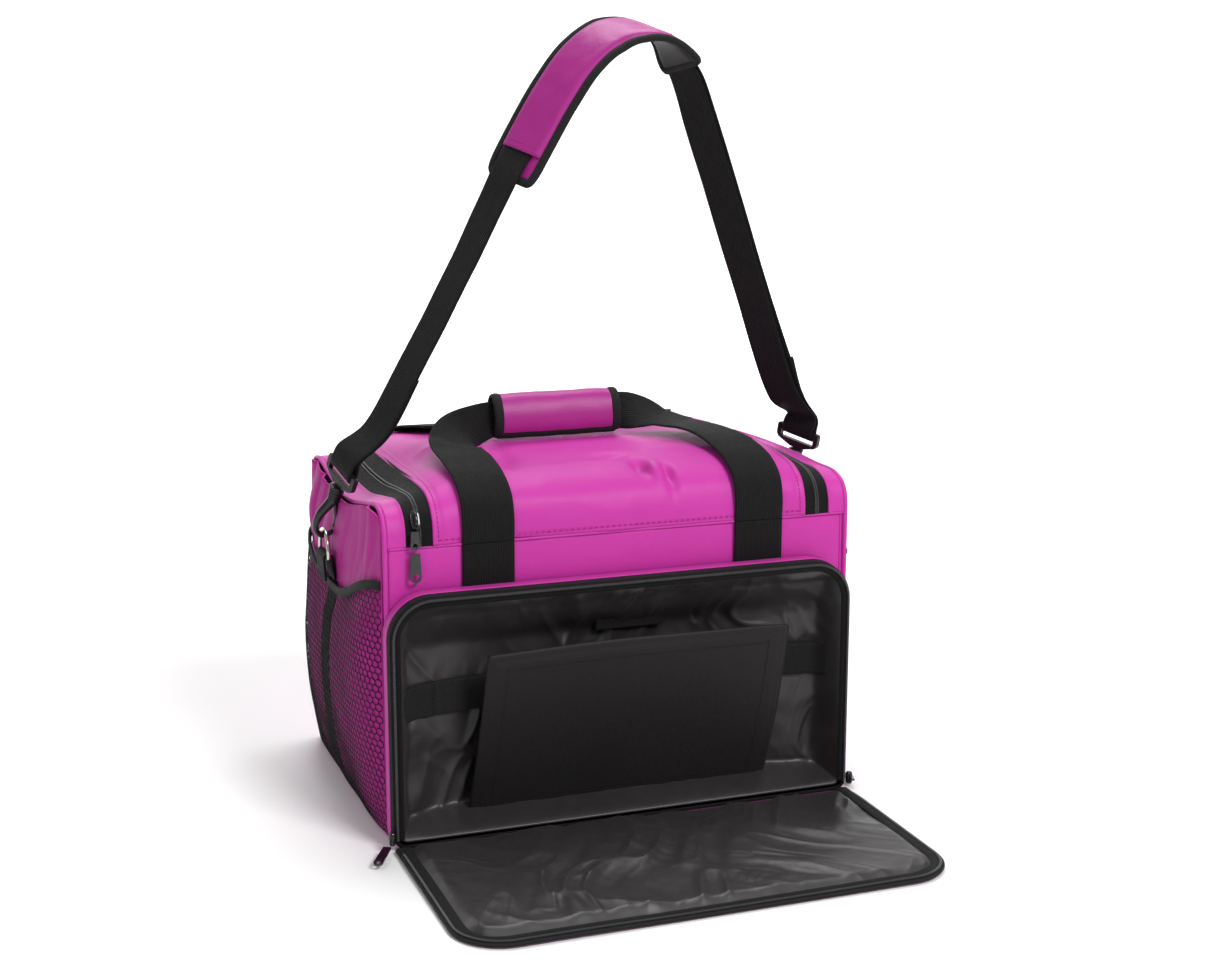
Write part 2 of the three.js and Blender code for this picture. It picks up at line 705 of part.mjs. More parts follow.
const PULL_THICKNESS = 1.8;
const pullPivot = sliderAt.clone().add(vec(-5.2, -8.4, -6));
const linkGroup = new THREE.Group();
linkGroup.position.copy(pullPivot);
linkGroup.rotation.x = Math.PI / 2 - THREE.MathUtils.degToRad(4);
bag.add(linkGroup);
part('top_pull_link', plate(pullShape(9, 20, 2.2), -PULL_THICKNESS / 2, PULL_THICKNESS, 5), plastic, linkGroup);
const ringPivot = pullPivot.clone().add(vec(0, -0.9, -20.6));
const tabGroup = new THREE.Group();
tabGroup.position.copy(ringPivot);
tabGroup.rotation.x = Math.PI / 2;
bag.add(tabGroup);
part('top_pull_ring', plate(pullShape(11, 30, 3.4), -PULL_THICKNESS / 2, PULL_THICKNESS, 5), plastic, tabGroup);

// Pocket sliders park at the flap's two corners and run up the pocket's sides.
const POCKET_SLIDERS = [
  { name: 'left', side: -1, heading: vec(-0.5, -0.87, -0.1) },
  { name: 'right', side: 1, heading: vec(0.3, 0.95, -0.1) },
];
for (const slider of POCKET_SLIDERS) {
  const edge = POCKET_CENTRE_X + slider.side * (POCKET_HALF_WIDTH + 0.8);
  const x0 = Math.min(edge, edge + slider.side * 7);
  part(`${slider.name}_pocket_slider`,
    box(x0, x0 + 7, -193.5, -183.5, 7, 20), plastic);
  const pull = new THREE.Group();
  const pivot = vec(edge + slider.side * 8.2, -188.5 + (slider.side < 0 ? -3 : 3), 8.5);
  const down = slider.heading.clone().normalize();
  const flat = vec(0, 0, 1).cross(down).normalize();
  const normal = flat.clone().cross(down).multiplyScalar(-1);
  pull.position.copy(pivot);
  pull.setRotationFromMatrix(new THREE.Matrix4().makeBasis(
    flat, down.clone().multiplyScalar(-1), normal));
  bag.add(pull);
  part(`${slider.name}_pocket_pull`,
    plate(pullShape(9, slider.side < 0 ? 36 : 28, 2.6), -PULL_THICKNESS / 2, PULL_THICKNESS, 5),
    plastic, pull);
}

// ---- End webbing, ring tabs, D-rings and end pockets ----------------------------------------
function dRing(end) {
  const x = end.side * RING_X[end.name];
  const points = [];
  const halfBar = 20;
  const height = RING_TOP_Z - RING_BAR_Z;
  for (let i = 0; i <= 4; i += 1) {
    points.push(vec(x, RING_Y - halfBar + (2 * halfBar * i) / 4, RING_BAR_Z));
  }
  for (let i = 1; i < 16; i += 1) {
    const angle = (i / 16) * Math.PI;
    const reach = Math.sign(Math.cos(angle)) * Math.abs(Math.cos(angle)) ** 0.8;
    points.push(vec(x, RING_Y + (halfBar + 0.6) * reach,
      RING_BAR_Z + height * Math.sin(angle) ** 0.8));
  }
  return points;
}

const POCKET_EDGES = {
  left: { bulge: 19, top: (y) => 203 + 35 * smooth((-y - 10) / 145) ** 1.2 + 23 * smooth((y - 50) / 105) },
  right: { bulge: 9.5, top: (y) => 206 + 27 * smooth((Math.abs(y) - 20) / 110) },
};
const TAB_HALF = STRAP_WEBBING / 2;

function endPocketX(end, y, share) {
  const edge = POCKET_EDGES[end.name];
  const fullness = 1 - (y / HALF_DEPTH) ** 6;
  return end.side * (HALF_LENGTH + 5.6 + fullness * (3.4 + edge.bulge * Math.sin(Math.PI * share * 0.92) ** 0.7));
}

for (const end of ENDS) {
  const stripe = [9, 40, 80, 120, 160, 190, 211].map((z) => ({
    at: vec(endPanelX(end, RING_Y, z) + end.side * (FABRIC + GAP + 1.6), RING_Y, z),
    across: vec(0, 1, 0),
    width: STRAP_WEBBING,
  }));
  part(`${end.name}_end_webbing`, ribbon(stripe, WEBBING_THICKNESS, 8), webbing);

  // The tab folds over the straight bar of the D-ring and leans in to the end panel.
  const ringX = RING_X[end.name];
  const fold = (radius) => {
    const points = [vec(ringX + radius - 3, 0, RING_BAR_Z - 19)];
    for (let i = 0; i <= 6; i += 1) {
      const angle = (i / 6) * Math.PI;
      points.push(vec(ringX + radius * Math.cos(angle), 0, RING_BAR_Z + radius * Math.sin(angle)));
    }
    points.push(vec(ringX - radius - 3, 0, RING_BAR_Z - 19));
    return points;
  };
  const section = (y) => [...fold(5), ...fold(2.6).reverse()].map(
    (point) => vec(end.side * point.x, y, point.z));
  part(`${end.name}_ring_tab`,
    loft([section(RING_Y - TAB_HALF + 1), section(RING_Y + TAB_HALF - 1)]), webbing);

  part(`${end.name}_d_ring`, planarRing(dRing(end), RING_WIRE, 6), nickel);

  const pocketHalfY = HALF_DEPTH - 3;
  const pocket = end.name === 'left' ? 'mesh_pocket' : 'slip_pocket';
  const bottom = 3;
  const cloth = end.name === 'left' ? 2.2 : 1.6;
  part(`${end.name}_${pocket}`, sheet((u, v) => {
    const y = lerp(-pocketHalfY, pocketHalfY, u) * -end.side;
    const top = POCKET_EDGES[end.name].top(y);
    return vec(endPocketX(end, y, v * 0.93), y, lerp(bottom, top - cloth + 1.6, v));
  }, 12, 8, cloth, -cloth / 2), end.name === 'left' ? meshFinish : fuchsia);

  const rim = end.name === 'left' ? 9 : 5;
  part(`${end.name}_${pocket}_binding`, sheet((u, v) => {
    const y = lerp(-pocketHalfY, pocketHalfY, u) * -end.side;
    const top = POCKET_EDGES[end.name].top(y);
    return vec(endPocketX(end, y, 0.93), y, lerp(top + GAP, top + GAP + rim, v));
  }, 12, 1, 2, -1), webbing);
}

// ---- Shoulder strap ------------------------------------------------------------------------
// Each hook hangs on its D-ring. `axis` runs from the ring up through the swivel and
// `bar` is the direction of the loop that holds the webbing.
const HOOKS = [
  {
    name: 'left',
    ring: vec(-RING_X.left, RING_Y, RING_TOP_Z),
    axis: vec(0.22, -0.36, 0.9),
    bar: vec(0.25, -0.87, -0.42),
    inward: vec(1, 0, 0),
  },
  {
    name: 'right',
    ring: vec(RING_X.right, RING_Y, RING_TOP_Z),
    axis: vec(0.06, -0.2, 0.97),
    bar: vec(0.48, -0.85, -0.22),
    inward: vec(-1, 0, 0),
  },
];
const BARREL = { low: 33, high: 52, radius: 6 };
const FRAME = { low: 52.6, slotLow: 60, slotHigh: 69, high: 74, half: 26, slotHalf: 20.5, thickness: 5 };

function hookBasis(axis, hint) {
  const z = axis.clone().normalize();
  const x = hint.clone().addScaledVector(z, -hint.dot(z)).normalize();
  return new THREE.Matrix4().makeBasis(x, z.clone().cross(x), z);
}

function hookBody() {
  const spine = new THREE.CatmullRomCurve3([
    vec(0, 0, 36), vec(-4, 0, 28), vec(-8.6, 0, 18), vec(-9.8, 0, 7),
    vec(-7, 0, -2.6), vec(-0.5, 0, -6.9), vec(6, 0, -4.2), vec(8.6, 0, 1.6),
  ]);
  const ribs = [[0, BARREL.low]];
  const count = 4;
  const pitch = (BARREL.high - BARREL.low) / count;
  for (let i = 0; i < count; i += 1) {
    const base = BARREL.low + i * pitch;
    ribs.push([BARREL.radius, base + 0.6], [BARREL.radius, base + pitch * 0.6]);
    ribs.push([BARREL.radius - 1, base + pitch * 0.72], [BARREL.radius - 1, base + pitch * 0.95]);
  }
  ribs.push([0, BARREL.high]);
  const barrel = new THREE.LatheGeometry(ribs.map(([r, z]) => new THREE.Vector2(r, z)), 10);
  barrel.rotateX(Math.PI / 2);
  return join(rod(spine, 2.8, 14, 7), barrel);
}

function hookFrame() {
  const shape = new THREE.Shape();
  shape.moveTo(-7, FRAME.low);
  shape.lineTo(7, FRAME.low);
  shape.lineTo(FRAME.half - 3, FRAME.slotLow - 2);
  shape.quadraticCurveTo(FRAME.half, FRAME.slotLow, FRAME.half, FRAME.slotLow + 4);
  shape.lineTo(FRAME.half, FRAME.high - 3);
  shape.quadraticCurveTo(FRAME.half, FRAME.high, FRAME.half - 3, FRAME.high);
  shape.lineTo(-FRAME.half + 3, FRAME.high);
  shape.quadraticCurveTo(-FRAME.half, FRAME.high, -FRAME.half, FRAME.high - 3);
  shape.lineTo(-FRAME.half, FRAME.slotLow + 4);
  shape.quadraticCurveTo(-FRAME.half, FRAME.slotLow, -FRAME.half + 3, FRAME.slotLow - 2);
  shape.closePath();
  const slot = new THREE.Path();
  slot.moveTo(-FRAME.slotHalf, FRAME.slotLow);
  slot.lineTo(-FRAME.slotHalf, FRAME.slotHigh);
  slot.lineTo(FRAME.slotHalf, FRAME.slotHigh);
  slot.lineTo(FRAME.slotHalf, FRAME.slotLow);
  slot.closePath();
  shape.holes.push(slot);
  const geometry = plate(shape, -FRAME.thickness / 2, FRAME.thickness, 3);
  return geometry.rotateX(Math.PI / 2);
}

for (const hook of HOOKS) {
  const jaw = new THREE.Group();
  jaw.position.copy(hook.ring);
  jaw.setRotationFromMatrix(hookBasis(hook.axis, hook.inward));
  bag.add(jaw);
  part(`${hook.name}_hook`, hookBody(), plastic, jaw);
  const gate = new THREE.LineCurve3(vec(8.6, 0, 5.6), vec(4.6, 0, 23));
  part(`${hook.name}_hook_gate`, rod(gate, 1.7, 1, 8), plastic, jaw);
  const frame = new THREE.Group();
  frame.position.copy(hook.ring);
  frame.setRotationFromMatrix(hookBasis(hook.axis, hook.bar));
  bag.add(frame);
  part(`${hook.name}_hook_frame`, hookFrame(), plastic, frame);
}

// Webbing legs and pad. `turn` tilts the width from straight fore-and-aft, about the
// strap's own direction.
const strapStation = (x, y, z, dx, dz, turn, width = STRAP_WEBBING) => {
  const angle = THREE.MathUtils.degToRad(turn);
  const length = Math.hypot(dx, dz);
  const inward = vec(dz / length, 0, -dx / length).multiplyScalar(Math.sin(angle));
  return { at: vec(x, y, z), across: inward.add(vec(0, -Math.cos(angle), 0)), width };
};
const barCentre = (hook, reach) => hook.ring.clone().addScaledVector(hook.axis.clone().normalize(), reach);
const foot = (hook, reach) => ({
  at: barCentre(hook, FRAME.high + reach), across: hook.bar, width: STRAP_WEBBING,
});
const leftLeg = [
  foot(HOOKS[0], 1.5),
  foot(HOOKS[0], 12),
  strapStation(-207, -21, 362, 0.5, 0.87, 24),
  strapStation(-163, -27, 440, 0.5, 0.87, 23),
  strapStation(-122, -30, 515, 0.5, 0.87, 23),
  strapStation(-88, -30, 576, 0.5, 0.87, 26),
  strapStation(-75, -30, 599, 0.5, 0.87, 28),
];
part('strap_left_leg', ribbon(leftLeg, STRAP_THICKNESS, 14), webbing);

const rightLeg = [
  strapStation(115, -30, 692, 0.38, -0.92, -31),
  strapStation(129, -30, 655, 0.35, -0.94, -37),
  strapStation(157, -29, 575, 0.34, -0.94, -38),
  strapStation(192, -24, 475, 0.36, -0.93, -38),
  strapStation(234, -12, 370, 0.38, -0.93, -36),
  foot(HOOKS[1], 12),
  foot(HOOKS[1], 1.5),
];
part('strap_right_leg', ribbon(rightLeg, STRAP_THICKNESS, 16), webbing);

// The right leg is doubled: the adjusting end runs back up beside it.
const returnLeg = rightLeg.map((s) => ({
  at: s.at.clone().add(vec(4.2, 1.5, 0.6)),
  across: s.across,
  width: s.width,
}));
part('strap_right_return', ribbon(returnLeg.slice(0, 5), STRAP_THICKNESS, 12), webbing);

const padRoute = (width) => [
  strapStation(-73, -30, 603, 0.5, 0.87, 29, width * 0.86),
  strapStation(-52, -30, 638, 0.52, 0.85, 30, width),
  strapStation(-24, -30, 680, 0.58, 0.81, 30, width),
  strapStation(8, -30, 716, 0.72, 0.69, 29, width),
  strapStation(42, -30, 736, 0.92, 0.3, 24, width),
  strapStation(72, -30, 739, 1, -0.1, 14, width),
  strapStation(98, -30, 724, 0.7, -0.7, -6, width),
  strapStation(111, -30, 701, 0.4, -0.92, -22, width * 0.86),
];
const PAD_STEPS = 21;
part('strap_pad', ribbon(padRoute(PAD_WIDTH), PAD_THICKNESS, PAD_STEPS), fuchsia);
part('strap_pad_lining',
  ribbon(padRoute(PAD_WIDTH - 4), 2.4, PAD_STEPS, PAD_THICKNESS / 2 + 1.8), lining);

export default bag;
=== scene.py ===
"""Looks of the soft skate bag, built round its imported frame. Metres, +Z up, front towards -Y."""

import math

import bpy
import numpy as np
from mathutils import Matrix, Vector


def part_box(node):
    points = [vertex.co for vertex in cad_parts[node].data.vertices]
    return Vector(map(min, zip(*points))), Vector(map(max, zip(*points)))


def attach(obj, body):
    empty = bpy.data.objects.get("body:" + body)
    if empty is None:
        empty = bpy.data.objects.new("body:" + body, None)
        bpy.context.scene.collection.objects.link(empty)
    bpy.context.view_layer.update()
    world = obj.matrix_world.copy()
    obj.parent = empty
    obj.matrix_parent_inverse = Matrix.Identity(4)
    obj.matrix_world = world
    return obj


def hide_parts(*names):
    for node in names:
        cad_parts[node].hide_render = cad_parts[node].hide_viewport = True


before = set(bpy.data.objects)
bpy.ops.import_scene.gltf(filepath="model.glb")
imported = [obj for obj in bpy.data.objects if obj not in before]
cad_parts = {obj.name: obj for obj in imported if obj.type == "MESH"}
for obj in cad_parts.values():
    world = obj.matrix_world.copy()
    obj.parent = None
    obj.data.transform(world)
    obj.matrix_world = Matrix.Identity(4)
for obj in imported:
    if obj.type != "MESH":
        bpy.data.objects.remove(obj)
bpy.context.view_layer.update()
MM = 0.001

# ---- Camera, light and floor -------------------------------------------------------
CAMERA_PLACE = (-0.6232, -1.8030, 0.6863)
CAMERA_AIM = (0.33756, 0.91903, -0.20357)


def make_camera():
    data = bpy.data.cameras.new("camera")
    data.sensor_width = 36
    data.lens = 56.81
    data.clip_end = 50
    camera = bpy.data.objects.new("camera", data)
    bpy.context.scene.collection.objects.link(camera)
    camera.location = CAMERA_PLACE
    camera.rotation_mode = "QUATERNION"
    camera.rotation_quaternion = Vector(CAMERA_AIM).to_track_quat("-Z", "Y")
    bpy.context.scene.camera = camera


def make_light(name, place, aim, size, power):
    data = bpy.data.lights.new(name, "AREA")
    data.shape = "RECTANGLE"
    data.size, data.size_y = size
    data.energy = power
    light = bpy.data.objects.new(name, data)
    bpy.context.scene.collection.objects.link(light)
    light.location = place
    light.rotation_mode = "QUATERNION"
    light.rotation_quaternion = (Vector(aim) - Vector(place)).to_track_quat("-Z", "Y")


def make_stage():
    world = bpy.data.worlds.new("world")
    bpy.context.scene.world = world
    world.use_nodes = True
    background = world.node_tree.nodes["Background"]
    background.inputs["Color"].default_value = (1, 1, 1, 1)
    background.inputs["Strength"].default_value = 0.34
    make_light("key", (0.75, -2.3, 2.2), (0, -0.1, 0.2), (0.9, 0.9), 62)
    make_light("left", (-1.5, -1.6, 1.9), (-0.1, 0, 0.25), (0.5, 0.5), 7)
    make_light("top", (0.3, 0.7, 2.4), (0, 0, 0.3), (1.4, 1.0), 34)
    make_light("backdrop", (1.6, 2.6, 4.2), (2.4, 7.0, 1.6), (7.0, 2.5), 900)
    bend = [(7 + 3 * math.sin(a), 3 - 3 * math.cos(a) - 0.0006) for a in np.linspace(0, math.pi / 2, 16)]
    profile_line = [(-7, -0.0006), (7, -0.0006)] + bend[1:] + [(10, 9)]
    floor = grid_mesh("floor", np.array([[(x, y, z) for x in (-12, 14)] for y, z in profile_line], float))
    floor.data.materials.append(floor_material())
    bpy.context.scene.view_settings.view_transform = "Standard"


# ---- Numbers and noise ---------------------------------------------------------------
def smooth(value, low=0.0, high=1.0):
    t = np.clip((np.asarray(value, float) - low) / (high - low), 0, 1)
    return t * t * (3 - 2 * t)


def unit(v):
    return v / np.maximum(np.linalg.norm(v, axis=-1, keepdims=True), 1e-12)


def lattice_noise(points, size, seed):
    """Smooth noise from -1 to 1 at points (..., 3), with cells of that size."""
    p = np.asarray(points, float) / size + 37.3 * seed
    base = np.floor(p).astype(np.int64)
    f = p - base
    w = f * f * f * (f * (f * 6 - 15) + 10)
    total = np.zeros(p.shape[:-1])
    for corner in range(8):
        step = np.array([corner & 1, corner >> 1 & 1, corner >> 2 & 1])
        cell = base + step
        key = (cell[..., 0] * 73856093) ^ (cell[..., 1] * 19349663) ^ (cell[..., 2] * 83492791)
        key = (key ^ (seed * 2654435761)) & 0x7FFFFFFF
        key = ((key ^ (key >> 13)) * 1274126177) & 0x7FFFFFFF
        key = ((key ^ (key >> 16)) * 1103515245 + 12345) & 0x7FFFFFFF
        value = key / 0x3FFFFFFF - 1
        share = np.prod(np.where(step == 1, w, 1 - w), axis=-1)
        total += value * share
    return total


def long_folds(points, angle, size, length, seed, flat=0):
    """Soft rolling folds lying at that angle in the sheet's plane: axes 0 and 2, or 0 and 1."""
    other = 1 if flat else 2
    a = math.radians(angle)
    bend = lattice_noise(points, size * 3.2, seed + 7) * size * 0.9
    across = points[..., 0] * -math.sin(a) + points[..., other] * math.cos(a) + bend
    along = points[..., 0] * math.cos(a) + points[..., other] * math.sin(a)
    p = np.stack([across, along * size / length, np.zeros_like(across)], -1)
    ridge = 1 - 2.2 * np.abs(lattice_noise(p, size, seed)) ** 0.9
    fine = 1 - 2.2 * np.abs(lattice_noise(p * 1.0 + 3, size * 0.48, seed + 3))
    return ridge * 0.75 + fine * 0.30 * smooth(lattice_noise(points, size * 2.4, seed + 9), -0.4, 0.5)


def crumple(points, size, seed, octaves=3, fall=0.5):
    """Creased cloth: sharp-edged folds of about that size, from about -1 to 1."""
    warp = np.stack([lattice_noise(points, size * 1.7, seed + k) for k in (11, 12, 13)], -1)
    p = points + warp * size * 0.45
    total = np.zeros(p.shape[:-1])
    weight = 1.0
    for k in range(octaves):
        n = lattice_noise(p, size / (1.9 ** k), seed + 3 * k)
        total += weight * (1 - 2.6 * np.abs(n) ** 0.85)
        weight *= fall
    return total / 1.6


# ---- Mesh helpers ------------------------------------------------------------------------
def add_object(name, vertices, faces, uvs=None):
    mesh = bpy.data.meshes.new(name)
    mesh.from_pydata(np.asarray(vertices, float).reshape(-1, 3).tolist(), [], faces)
    if uvs is not None:
        layer = mesh.uv_layers.new(name="UVMap")
        corner = np.zeros(len(mesh.loops), np.int32)
        mesh.loops.foreach_get("vertex_index", corner)
        layer.data.foreach_set("uv", np.asarray(uvs, np.float32)[corner].ravel())
    mesh.polygons.foreach_set("use_smooth", [True] * len(mesh.polygons))
    mesh.update()
    obj = bpy.data.objects.new(name, mesh)
    bpy.context.scene.collection.objects.link(obj)
    return obj


def grid_faces(rows, columns, base=0, flip=False, wrap=False):
    faces = []
    for r in range(rows if wrap else rows - 1):
        n = (r + 1) % rows
        for c in range(columns - 1):
            face = (base + r * columns + c, base + r * columns + c + 1,
                    base + n * columns + c + 1, base + n * columns + c)
            faces.append(face[::-1] if flip else face)
    return faces


def grid_mesh(name, points):
    rows, columns = points.shape[:2]
    return add_object(name, points, grid_faces(rows, columns))


def normals_of(points):
    du = np.gradient(points, axis=1)
    dv = np.gradient(points, axis=0)
    return unit(np.cross(du, dv))


def measure_uv(points):
    """UVs in metres: mean length along the rows and along the columns."""
    across = np.linalg.norm(np.diff(points, axis=1), axis=-1).mean(0)
    along = np.linalg.norm(np.diff(points, axis=0), axis=-1).mean(1)
    u = np.concatenate([[0], np.cumsum(across)])
    v = np.concatenate([[0], np.cumsum(along)])
    return np.stack(np.meshgrid(u - u[-1] / 2, v), -1)


def cloth_body(name, front, back):
    """Closed body between two grids of the same shape; the front grid faces outwards."""
    rows, columns = front.shape[:2]
    size = rows * columns
    uv = measure_uv(front).reshape(-1, 2)
    vertices = np.concatenate([front.reshape(-1, 3), back.reshape(-1, 3)])
    faces = grid_faces(rows, columns) + grid_faces(rows, columns, size, True)
    rim = (list(range(columns))
           + [r * columns + columns - 1 for r in range(1, rows)]
           + [(rows - 1) * columns + c for c in range(columns - 2, -1, -1)]
           + [r * columns for r in range(rows - 2, 0, -1)])
    for a, b in zip(rim, rim[1:] + rim[:1]):
        faces.append((b, a, a + size, b + size))
    return add_object(name, vertices, faces, np.concatenate([uv, uv]))


def shell(name, points, thickness):
    """Closed cloth body: the grid of points is its outer face, and it is that thick behind."""
    return cloth_body(name, points, points - normals_of(points) * thickness)


def length_to(path):
    """Length along a path up to each of its points."""
    return np.concatenate([[0], np.cumsum(np.linalg.norm(np.diff(path, axis=0), axis=1))])


def read_at(places, run, rows):
    """Rows of numbers interpolated at those places along a run."""
    return np.stack([np.interp(places, run, rows[:, k]) for k in range(rows.shape[1])], -1)


def spline(points, count):
    """Even stations on a centripetal Catmull-Rom curve through the points."""
    p = np.asarray(points, float)
    p = np.vstack([2 * p[0] - p[1], p, 2 * p[-1] - p[-2]])
    dense = []
    for i in range(1, len(p) - 2):
        knots = np.concatenate([[0], np.cumsum(np.sqrt(np.linalg.norm(np.diff(p[i - 1:i + 3], axis=0), axis=1)))])
        t = np.linspace(knots[1], knots[2], 24, endpoint=i == len(p) - 3)[:, None]

        def between(first, second, low, high):
            return ((knots[high] - t) * first + (t - knots[low]) * second) / (knots[high] - knots[low])
        a = [between(p[i - 1 + k], p[i + k], k, k + 1) for k in range(3)]
        b = [between(a[k], a[k + 1], k, k + 2) for k in range(2)]
        dense.append(between(b[0], b[1], 1, 2))
    return resample(np.vstack(dense), count)


def resample(points, count):
    run = length_to(points)
    return read_at(np.linspace(0, run[-1], count), run, points)


def ring_faces(count, ring, closed=False, base=0):
    """Faces of a skin over `count` rings of `ring` points each, capped unless it is closed."""
    faces = []
    for i in range(count if closed else count - 1):
        n = (i + 1) % count
        for k in range(ring):
            m = (k + 1) % ring
            faces.append((base + i * ring + k, base + i * ring + m, base + n * ring + m, base + n * ring + k))
    if not closed:
        faces.append(tuple(range(base + ring - 1, base - 1, -1)))
        faces.append(tuple(range(base + (count - 1) * ring, base + count * ring)))
    return faces


def sweep(name, path, section, up=None, closed=False, sizes=None):
    """Body along a path. Section points are (across, off) in metres; `up` is the off
    direction at each station, or one fixed vector."""
    path = np.asarray(path, float)
    count = len(path)
    tangent = np.roll(path, -1, 0) - np.roll(path, 1, 0) if closed else np.gradient(path, axis=0)
    tangent = unit(tangent)
    if up is None:
        ups = np.zeros_like(path)
        seed = np.array([0, 0, 1.0]) if abs(tangent[0][2]) < 0.9 else np.array([1.0, 0, 0])
        for i in range(count):
            seed = unit(seed - tangent[i] * np.dot(seed, tangent[i]))
            ups[i] = seed
    else:
        ups = np.broadcast_to(np.asarray(up, float), path.shape)
        ups = unit(ups - tangent * np.sum(ups * tangent, -1, keepdims=True))
    side = np.cross(tangent, ups)
    section = np.asarray(section, float)
    ring = len(section)
    scale = np.ones(count) if sizes is None else np.asarray(sizes, float)
    vertices = (path[:, None] + (side[:, None] * section[None, :, :1]
                + ups[:, None] * section[None, :, 1:]) * scale[:, None, None])
    faces = [(face[0], *face[:0:-1]) for face in ring_faces(count, ring, closed)]
    uvs = np.stack(np.meshgrid(length_to(section), length_to(path)), -1).reshape(-1, 2)
    return add_object(name, vertices, faces, uvs)


def circle(radius, sides=12):
    angle = np.arange(sides) / sides * 2 * math.pi
    return np.stack([np.cos(angle) * radius, np.sin(angle) * radius], -1)


def tube(name, path, radius, sides=12, closed=False, sizes=None, up=None):
    return sweep(name, path, circle(radius, sides), up, closed, sizes)


def strip_frames(stations, count, scale=1.0):
    """Path, across, normal and width along stations (point, across direction, width)."""
    raw = np.array([s[0] for s in stations], float)
    path = spline(raw * scale, count)
    knots = length_to(raw)
    knots = knots / knots[-1]
    place = np.linspace(0, 1, count)
    across = read_at(place, knots, unit(np.array([s[1] for s in stations], float)))
    width = np.interp(place, knots, [s[2] for s in stations])
    tangent = unit(np.gradient(path, axis=0))
    across = unit(across - tangent * np.sum(across * tangent, -1, keepdims=True))
    return path, across, np.cross(tangent, across), width


def ribbon(name, stations, thickness, count, waver=0.0, seed=1):
    """Webbing along stations (point, across direction, width), all in millimetres."""
    path, across, normal, width = strip_frames(stations, count, MM)
    width = width * MM
    path = path + normal * (lattice_noise(path, 0.05, seed) * waver * MM)[:, None]
    shares = np.array([-1, -0.97, -0.8, -0.6, -0.4, -0.2, 0, 0.2, 0.4, 0.6, 0.8, 0.97, 1])
    edge = np.where(np.abs(shares) == 1, 0.45, 1.0)
    section = np.vstack([np.stack([shares, edge], -1), np.stack([shares[::-1], -edge[::-1]], -1)])
    ring = len(section)
    vertices = (path[:, None]
                + across[:, None] * (section[None, :, :1] * width[:, None, None] / 2)
                + normal[:, None] * (section[None, :, 1:] * thickness * MM / 2))
    u = section[None, :, 0] * width[:, None] / 2
    v = np.broadcast_to(length_to(path)[:, None], (count, ring))
    return add_object(name, vertices, ring_faces(count, ring), np.stack([u, v], -1).reshape(-1, 2))


def select(*objects):
    bpy.ops.object.select_all(action="DESELECT")
    for obj in objects:
        obj.select_set(True)
    bpy.context.view_layer.objects.active = objects[0]


def join(name, *objects):
    """One piece from several meshes, each keeping its own material."""
    select(*objects)
    bpy.ops.object.join()
    objects[0].name = name
    objects[0].data.name = name
    return objects[0]


def fix_outward(obj):
    select(obj)
    bpy.ops.object.mode_set(mode="EDIT")
    bpy.ops.mesh.select_all(action="SELECT")
    bpy.ops.mesh.normals_make_consistent(inside=False)
    bpy.ops.object.mode_set(mode="OBJECT")
    return obj


def weld(obj):
    """Closes the seam where a grid meets its own start, and drops the faces left inside."""
    select(obj)
    bpy.ops.object.mode_set(mode="EDIT")
    bpy.ops.mesh.select_all(action="SELECT")
    bpy.ops.mesh.remove_doubles(threshold=1e-5)
    bpy.ops.mesh.select_all(action="DESELECT")
    bpy.ops.mesh.select_interior_faces()
    bpy.ops.mesh.delete(type="FACE")
    bpy.ops.object.mode_set(mode="OBJECT")


def blocks(name, places, along, across, size):
    """Small rounded blocks, one per place: size is (length, width, height) in metres."""
    places = np.asarray(places, float)
    along = unit(np.broadcast_to(along, places.shape))
    across = np.broadcast_to(across, places.shape)
    across = unit(across - along * np.sum(across * along, -1, keepdims=True))
    off = np.cross(along, across)
    shape = []
    for level, grow in ((-1, 0.55), (-0.45, 1.0), (0.45, 1.0), (1, 0.55)):
        for a, b in ((-1, -0.6), (-0.6, -1), (0.6, -1), (1, -0.6), (1, 0.6), (0.6, 1), (-0.6, 1), (-1, 0.6)):
            shape.append((level, a * grow, b * grow))
    shape = np.array(shape) / 2
    vertices = (places[:, None] + along[:, None] * shape[None, :, :1] * size[0]
                + across[:, None] * shape[None, :, 1:2] * size[1]
                + off[:, None] * shape[None, :, 2:] * size[2])
    faces = []
    for i in range(len(places)):
        faces += ring_faces(4, 8, base=i * len(shape))
    return add_object(name, vertices, faces)


def along_path(path, pitch):
    """Even places along a path, and the path's direction at each."""
    run = length_to(path)
    places = np.arange(pitch / 2, run[-1], pitch)
    tangent = unit(np.gradient(path, axis=0))
    return read_at(places, run, path), unit(read_at(places, run, tangent))


def stitches(path, off, length=2.4, gap=1.2, width=0.5, material=None):
    """Row of thread stitches lying on a surface whose outward direction is `off`."""
    at, aim = along_path(np.asarray(path, float), (length + gap) * MM)
    off = np.asarray(off, float)
    off = np.broadcast_to(off, at.shape) if off.ndim == 1 else resample(off, len(at))
    size = (length * MM, width * MM, width * MM * 0.8)
    return paint(blocks("thread", at, aim, np.cross(aim, off), size), material or THREAD)


def teeth(path, off, width, height=1.6, pitch=1.7, length=1.15):
    """Zip coil: a row of small links across the path."""
    at, aim = along_path(np.asarray(path, float), pitch * MM)
    off = resample(np.broadcast_to(np.asarray(off, float), (len(path), 3)), len(at))
    size = (length * MM, width * MM, height * MM)
    return paint(blocks("coil", at, aim, np.cross(aim, off), size), COIL)


